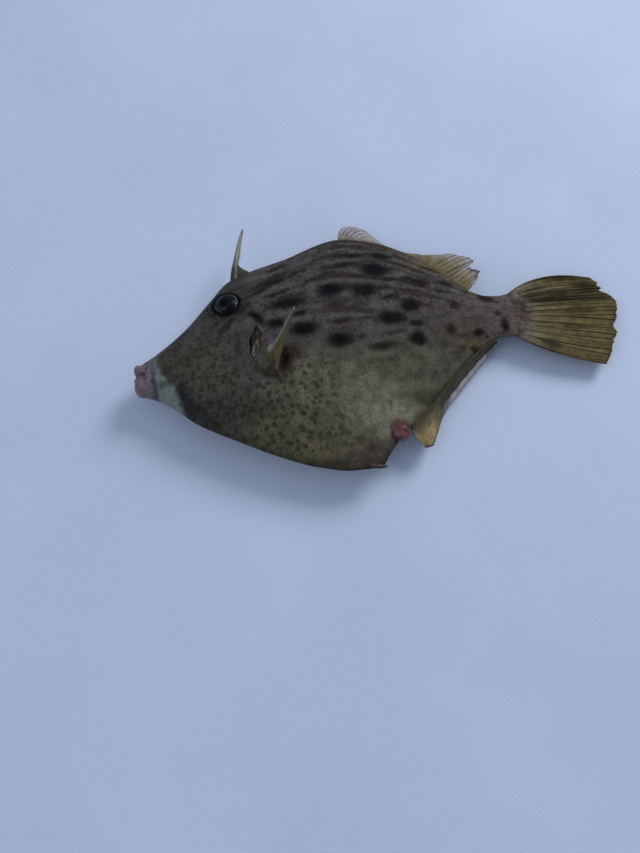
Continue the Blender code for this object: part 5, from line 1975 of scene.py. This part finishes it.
@dataclass
class FinSet:
    """All the fins of the fish, with the skin behind the back spine."""

    shape: BodyShape
    place: Place
    tail_root: Pair = (32.6, 5.6)
    web_root: Pair = (58.6, 65.8)
    left_root: tuple[Pair, Pair] = ((75.9, 1.9), (76.2, -11.6))
    right_root: tuple[Pair, Pair] = ((76.4, 1.4), (76.4, -8.6))
    right_turn: Pair = (0.50, -0.62)
    right_lengths: Outline = ((0, 27.5), (0.25, 28), (0.6, 24), (1, 16))
    right_height: float = 0.55
    dorsal_guides: tuple[Guide, ...] = (
        (0.00, (120.5, 90.5, 15.5), (131.5, 89.4, 12.5)), (0.06, (128.5, 90.0, 15.0), (137.4, 86.4, 11.5)),
        (0.13, (136.5, 86.0, 14.0), (143.0, 81.0, 10.0)), (0.22, (143.0, 80.0, 12.0), (148.8, 76.0, 8.0)),
        (0.32, (148.5, 75.2, 11.0), (154.5, 71.8, 6.5)), (0.43, (155.5, 70.8, 10.0), (161.5, 69.8, 6.0)),
        (0.57, (167.0, 66.0, 12.0), (173.0, 65.8, 9.5)), (0.71, (178.0, 60.5, 13.0), (187.0, 63.6, 12.0)),
        (0.83, (188.0, 53.5, 13.0), (198.6, 57.0, 12.0)), (0.88, (189.5, 49.5, 12.8), (195.4, 53.2, 12.0)),
        (0.94, (193.0, 45.5, 12.5), (200.8, 50.0, 12.0)), (1.00, (193.6, 39.5, 12.5), (196.4, 42.8, 12.0)))
    anal_guides: tuple[Guide, ...] = (
        (0.00, (143.5, -50.5, 15.5), (150.0, -56.0, 12.0)),
        (0.10, (149.5, -49.5, 14.5), (153.6, -55.2, 11.0)),
        (0.20, (155.0, -42.5, 12.5), (157.5, -48.6, 8.0)), (0.35, (163.5, -34.0, 10.5), (164.0, -36.0, 5.0)),
        (0.55, (176.0, -20.5, 9.5), (177.5, -21.0, 4.2)), (0.75, (188.0, -8.5, 9.0), (189.5, -9.0, 4.2)),
        (0.92, (197.6, -0.2, 9.5), (198.8, -0.3, 6.0)), (1.00, (201.2, 2.6, 11.0), (202.4, 2.6, 9.5)))
    tail_guides: tuple[Guide, ...] = (
        (0.00, (235.0, 49.4, 9.4), (266.5, 41.6, 7.0)), (0.10, (240.0, 40.5, 9.0), (272.4, 36.0, 6.4)),
        (0.22, (242.0, 31.0, 9.0), (273.8, 31.0, 6.2)), (0.36, (242.0, 25.0, 9.0), (278.2, 24.5, 5.9)),
        (0.52, (242.0, 18.0, 9.0), (276.0, 15.5, 6.1)), (0.64, (240.0, 12.0, 9.0), (272.8, 7.0, 6.3)),
        (0.72, (239.0, 9.0, 9.0), (272.6, 3.6, 6.3)), (0.84, (236.0, 2.5, 9.0), (268.2, -4.0, 6.6)),
        (0.93, (233.0, -3.5, 9.2), (264.8, -10.4, 6.9)), (1.00, (229.0, -8.5, 9.6), (260.4, -16.4, 7.2)))
    left_guides: tuple[Guide, ...] = (
        (0.0, (81.0, 5.3, 41.0), (88.9, 13.9, 50.0)), (0.3, (81.0, 2.4, 41.4), (87.2, 9.7, 50.0)),
        (0.6, (80.0, -2.4, 40.6), (84.8, 4.0, 48.6)), (1.0, (78.6, -8.2, 38.4), (81.6, -2.8, 44.2)))

    def edge(self, outline: Outline, span: Pair, outward: float) -> Root:
        """Root along the body's edge.

        Args:
            outline: the back or the belly.
            span: x of the root's two ends.
            outward: how far past the edge the root is, towards the back or, below 0, the belly.

        Returns:
            A function from a share along the root to its place.
        """
        def root(s: float) -> Vector:
            """Place at a share of the way along the edge."""
            x = between(span, s)
            return Vector((x, float(smooth(outline, x)) + outward, float(self.shape.mid(x))))
        return root

    def line(self, ends: tuple[Pair, Pair], side: Side, rise: float) -> Root:
        """Root along a straight line on one flank.

        Args:
            ends: its two ends.
            side: the flank.
            rise: how far off the skin it is.

        Returns:
            A function from a share along the root to its place.
        """
        def root(s: float) -> Vector:
            """Place at a share of the way along the line."""
            x, y = (between(pair, s) for pair in zip(*ends))
            return Vector((x, y, self.shape.height(x, y, side) + rise))
        return root

    def right_fan(self) -> tuple[Root, tuple[Guide, ...]]:
        """Lay out the right pectoral fin, pressed flat like a fan.

        Returns:
            Its root and its guide rays.
        """
        def root(s: float) -> Vector:
            """Place at a share of the way along its root."""
            x, y = (between(pair, s) for pair in zip(*self.right_root))
            return Vector((x, y, self.right_height))

        guides = []
        for s in (0.0, 0.25, 0.5, 0.75, 1.0):
            turn = between(self.right_turn, s)
            reach = float(smooth(self.right_lengths, s))
            start = root(s)
            tip = start + Vector((math.cos(turn), math.sin(turn), 0.0)) * reach
            guides.append((s, tuple((start + tip) / 2), tuple(tip)))
        return root, tuple(guides)

    def fins(self) -> list[Fin]:
        """Describe each fin.

        Returns:
            The fins, from the back spine's skin to the right pectoral fin.
        """
        tail_x = self.shape.tail_x
        mid_tail = float(self.shape.mid(tail_x))
        mid = float(self.shape.mid(62.0))
        web_guides = ((0.0, (59.3, 64.0, mid), (59.0, 67.6, mid)),
                      (0.5, (61.5, 62.4, mid), (61.2, 64.4, mid)),
                      (1.0, (65.0, 61.0, mid), (64.8, 61.6, mid)))

        def web_root(s: float) -> Vector:
            """Place at a share of the way along the root of the spine's skin."""
            x = between(self.web_root, s)
            return Vector((x, float(smooth(self.shape.back, x)) + 0.2, mid))

        def tail_root(s: float) -> Vector:
            """Place at a share of the way down the tail stalk's end."""
            return Vector((tail_x - 1.5, between(self.tail_root, s), mid_tail))

        right_start, right_guides = self.right_fan()
        return [
            Fin("spine_web", ("spine_membrane",), Slot.SPINE, WEB_FINISH, web_root, web_guides, 5, 12,
                web=0.5, ray=0.75, root_thickness=1.4, root_run=0.4, inward=1.0, ripple=0.05),
            Fin("dorsal_fin_membrane", ("dorsal_fin",), Slot.FIN_CREAM, DORSAL_FINISH,
                self.edge(self.shape.back, DORSAL_ROOT, 0.4), self.dorsal_guides, DORSAL_RAYS, 26,
                notch=0.03, ragged=0.02, tears=((28.2, 0.30), (31.6, 0.12)), root_thickness=1.4,
                root_run=0.2),
            Fin("anal_fin_membrane", ("anal_fin",), Slot.FIN_CREAM, ANAL_FINISH,
                self.edge(self.shape.belly, ANAL_ROOT, -0.4), self.anal_guides, ANAL_RAYS, 22, web=0.4,
                ray=0.6, notch=0.015, ragged=0.008, root_thickness=1.6, root_run=0.3),
            Fin("tail_fin_membrane", ("caudal_fin",), Slot.FIN_OLIVE, TAIL_FINISH, tail_root,
                self.tail_guides, 12, 44, forks=(0.30,), web=0.42, ray=1.0, root_thickness=4.7,
                root_run=0.36, inward=1.0, notch=0.006, ragged=0.006, ripple=0.2,
                tears=((1.2, 0.05), (2.1, 0.06), (7.0, 0.02)), round_root=True),
            Fin("pectoral_fin_left_membrane", ("pectoral_fin_left",), Slot.FIN_CREAM, PECTORAL_FINISH,
                self.line(self.left_root, Side.LEFT, 0.4), self.left_guides, 13, 24, web=0.28, ray=0.7,
                root_thickness=2.0, root_run=0.3, inward=1.4, ripple=0.08, lead=0.7),
            Fin("pectoral_fin_right_membrane", ("pectoral_fin_right",), Slot.FIN_CREAM,
                PECTORAL_FINISH, right_start, right_guides, 13, 20, web=0.4, ray=0.8,
                root_thickness=0.9, inward=0.6, ripple=0.0),
        ]

    def build(self) -> list[Piece]:
        """Model and dress every fin."""
        return [fin.build(self.place) for fin in self.fins()]


@dataclass
class Studio:
    """Plain pale floor, soft light and the camera at the photo's angle."""

    place: Place
    camera_at: Triple = (81.67, -164.81, 328.4)
    aim: Pair = (0.111, 0.994)
    elevation: float = 68.0
    focus_pixels: float = 642.0
    picture_pixels: float = 853.0
    sensor: float = 36.0
    floor_size: float = 8.0
    floor_colour: Colour = (0.63, 0.74, 0.98)
    sky: Colour = (0.84, 0.93, 1.08)
    sky_strength: float = 0.32
    key_power: float = 15.0
    key_colour: Colour = (1.0, 0.98, 0.96)

    def floor(self) -> None:
        """Lay the floor."""
        deselect()
        bpy.ops.mesh.primitive_plane_add(size=self.floor_size)
        obj = added("floor")
        s = Sketch("pale_floor")
        soft = s.ramp(s.noise(s.places, 9.0, 3.0), 0.3, 0.7, 0.97, 1.03)
        colour = s.shade(self.floor_colour, soft)
        obj.data.materials.append(s.done(colour, 0.85, s.noise(s.places, 700.0, 2.0), 0.0002))
        obj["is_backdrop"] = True

    def lights(self) -> None:
        """Hang one wide soft lamp and light the rest from all around."""
        world = bpy.data.worlds.new("soft_sky")
        world.use_nodes = True
        back = world.node_tree.nodes["Background"]
        back.inputs["Color"].default_value = (*self.sky, 1.0)
        back.inputs["Strength"].default_value = self.sky_strength
        bpy.context.scene.world = world
        for name, spot, size, power in (("key", (1.05, 0.95, 1.0), 0.8, self.key_power),
                                        ("fill", (-1.1, -0.5, 0.9), 1.4, self.key_power * 0.2)):
            lamp = bpy.data.lights.new(name, "AREA")
            lamp.shape = "DISK"
            lamp.size = size
            lamp.energy = power
            lamp.color = self.key_colour
            obj = bpy.data.objects.new(name, lamp)
            obj.location = spot
            obj.rotation_euler = (-Vector(spot)).to_track_quat("-Z", "Y").to_euler()
            bpy.context.scene.collection.objects.link(obj)

    def camera(self) -> None:
        """Set the camera."""
        lens = bpy.data.cameras.new("view")
        lens.sensor_width = self.sensor
        lens.sensor_fit = "AUTO"
        lens.lens = self.focus_pixels / self.picture_pixels * self.sensor
        lens.clip_start = 0.01
        obj = bpy.data.objects.new("view", lens)
        angle = math.radians(self.elevation)
        look = Vector((self.aim[0] * math.cos(angle), self.aim[1] * math.cos(angle), -math.sin(angle)))
        obj.location = Vector(self.camera_at) * MM + self.place.shift
        obj.rotation_euler = look.to_track_quat("-Z", "Y").to_euler()
        bpy.context.scene.collection.objects.link(obj)
        bpy.context.scene.camera = obj

    def build(self) -> None:
        """Set up the whole studio."""
        self.floor()
        self.lights()
        self.camera()
        bpy.context.scene.view_settings.view_transform = "Standard"


def corners() -> list[list[float]]:
    """Lowest and highest corner of what shows, as plain lists."""
    return [[float(value) for value in corner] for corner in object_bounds()]


def report(obj: Piece) -> None:
    """Log a finished piece."""
    LOG.info("%s: %d faces, %s", obj.name, len(obj.data.polygons), obj.data.materials[0].name)


def main() -> None:
    """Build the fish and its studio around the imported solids."""
    logging.basicConfig(level=logging.INFO, format="%(name)s %(message)s")
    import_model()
    shape = BodyShape()
    eye = EyeSize()
    place = Place.from_frame(shape, eye)
    skin = Skin(shape, place, eye)
    report(skin.build())
    eye_finish = EyeFinish().material()
    gill_finish = GillFinish().material()
    for side in Side:
        report(Eye(shape, place, eye, side).build(eye_finish))
        report(GillFlap(skin, side).build(gill_finish))
    report(Vent(skin).build())
    report(DorsalSpine(shape, place).build())
    report(PelvicSpine(shape, place).build())
    for fin in FinSet(shape, place).build():
        report(fin)
    Studio(place).build()


if __name__ == "__main__":
    main()
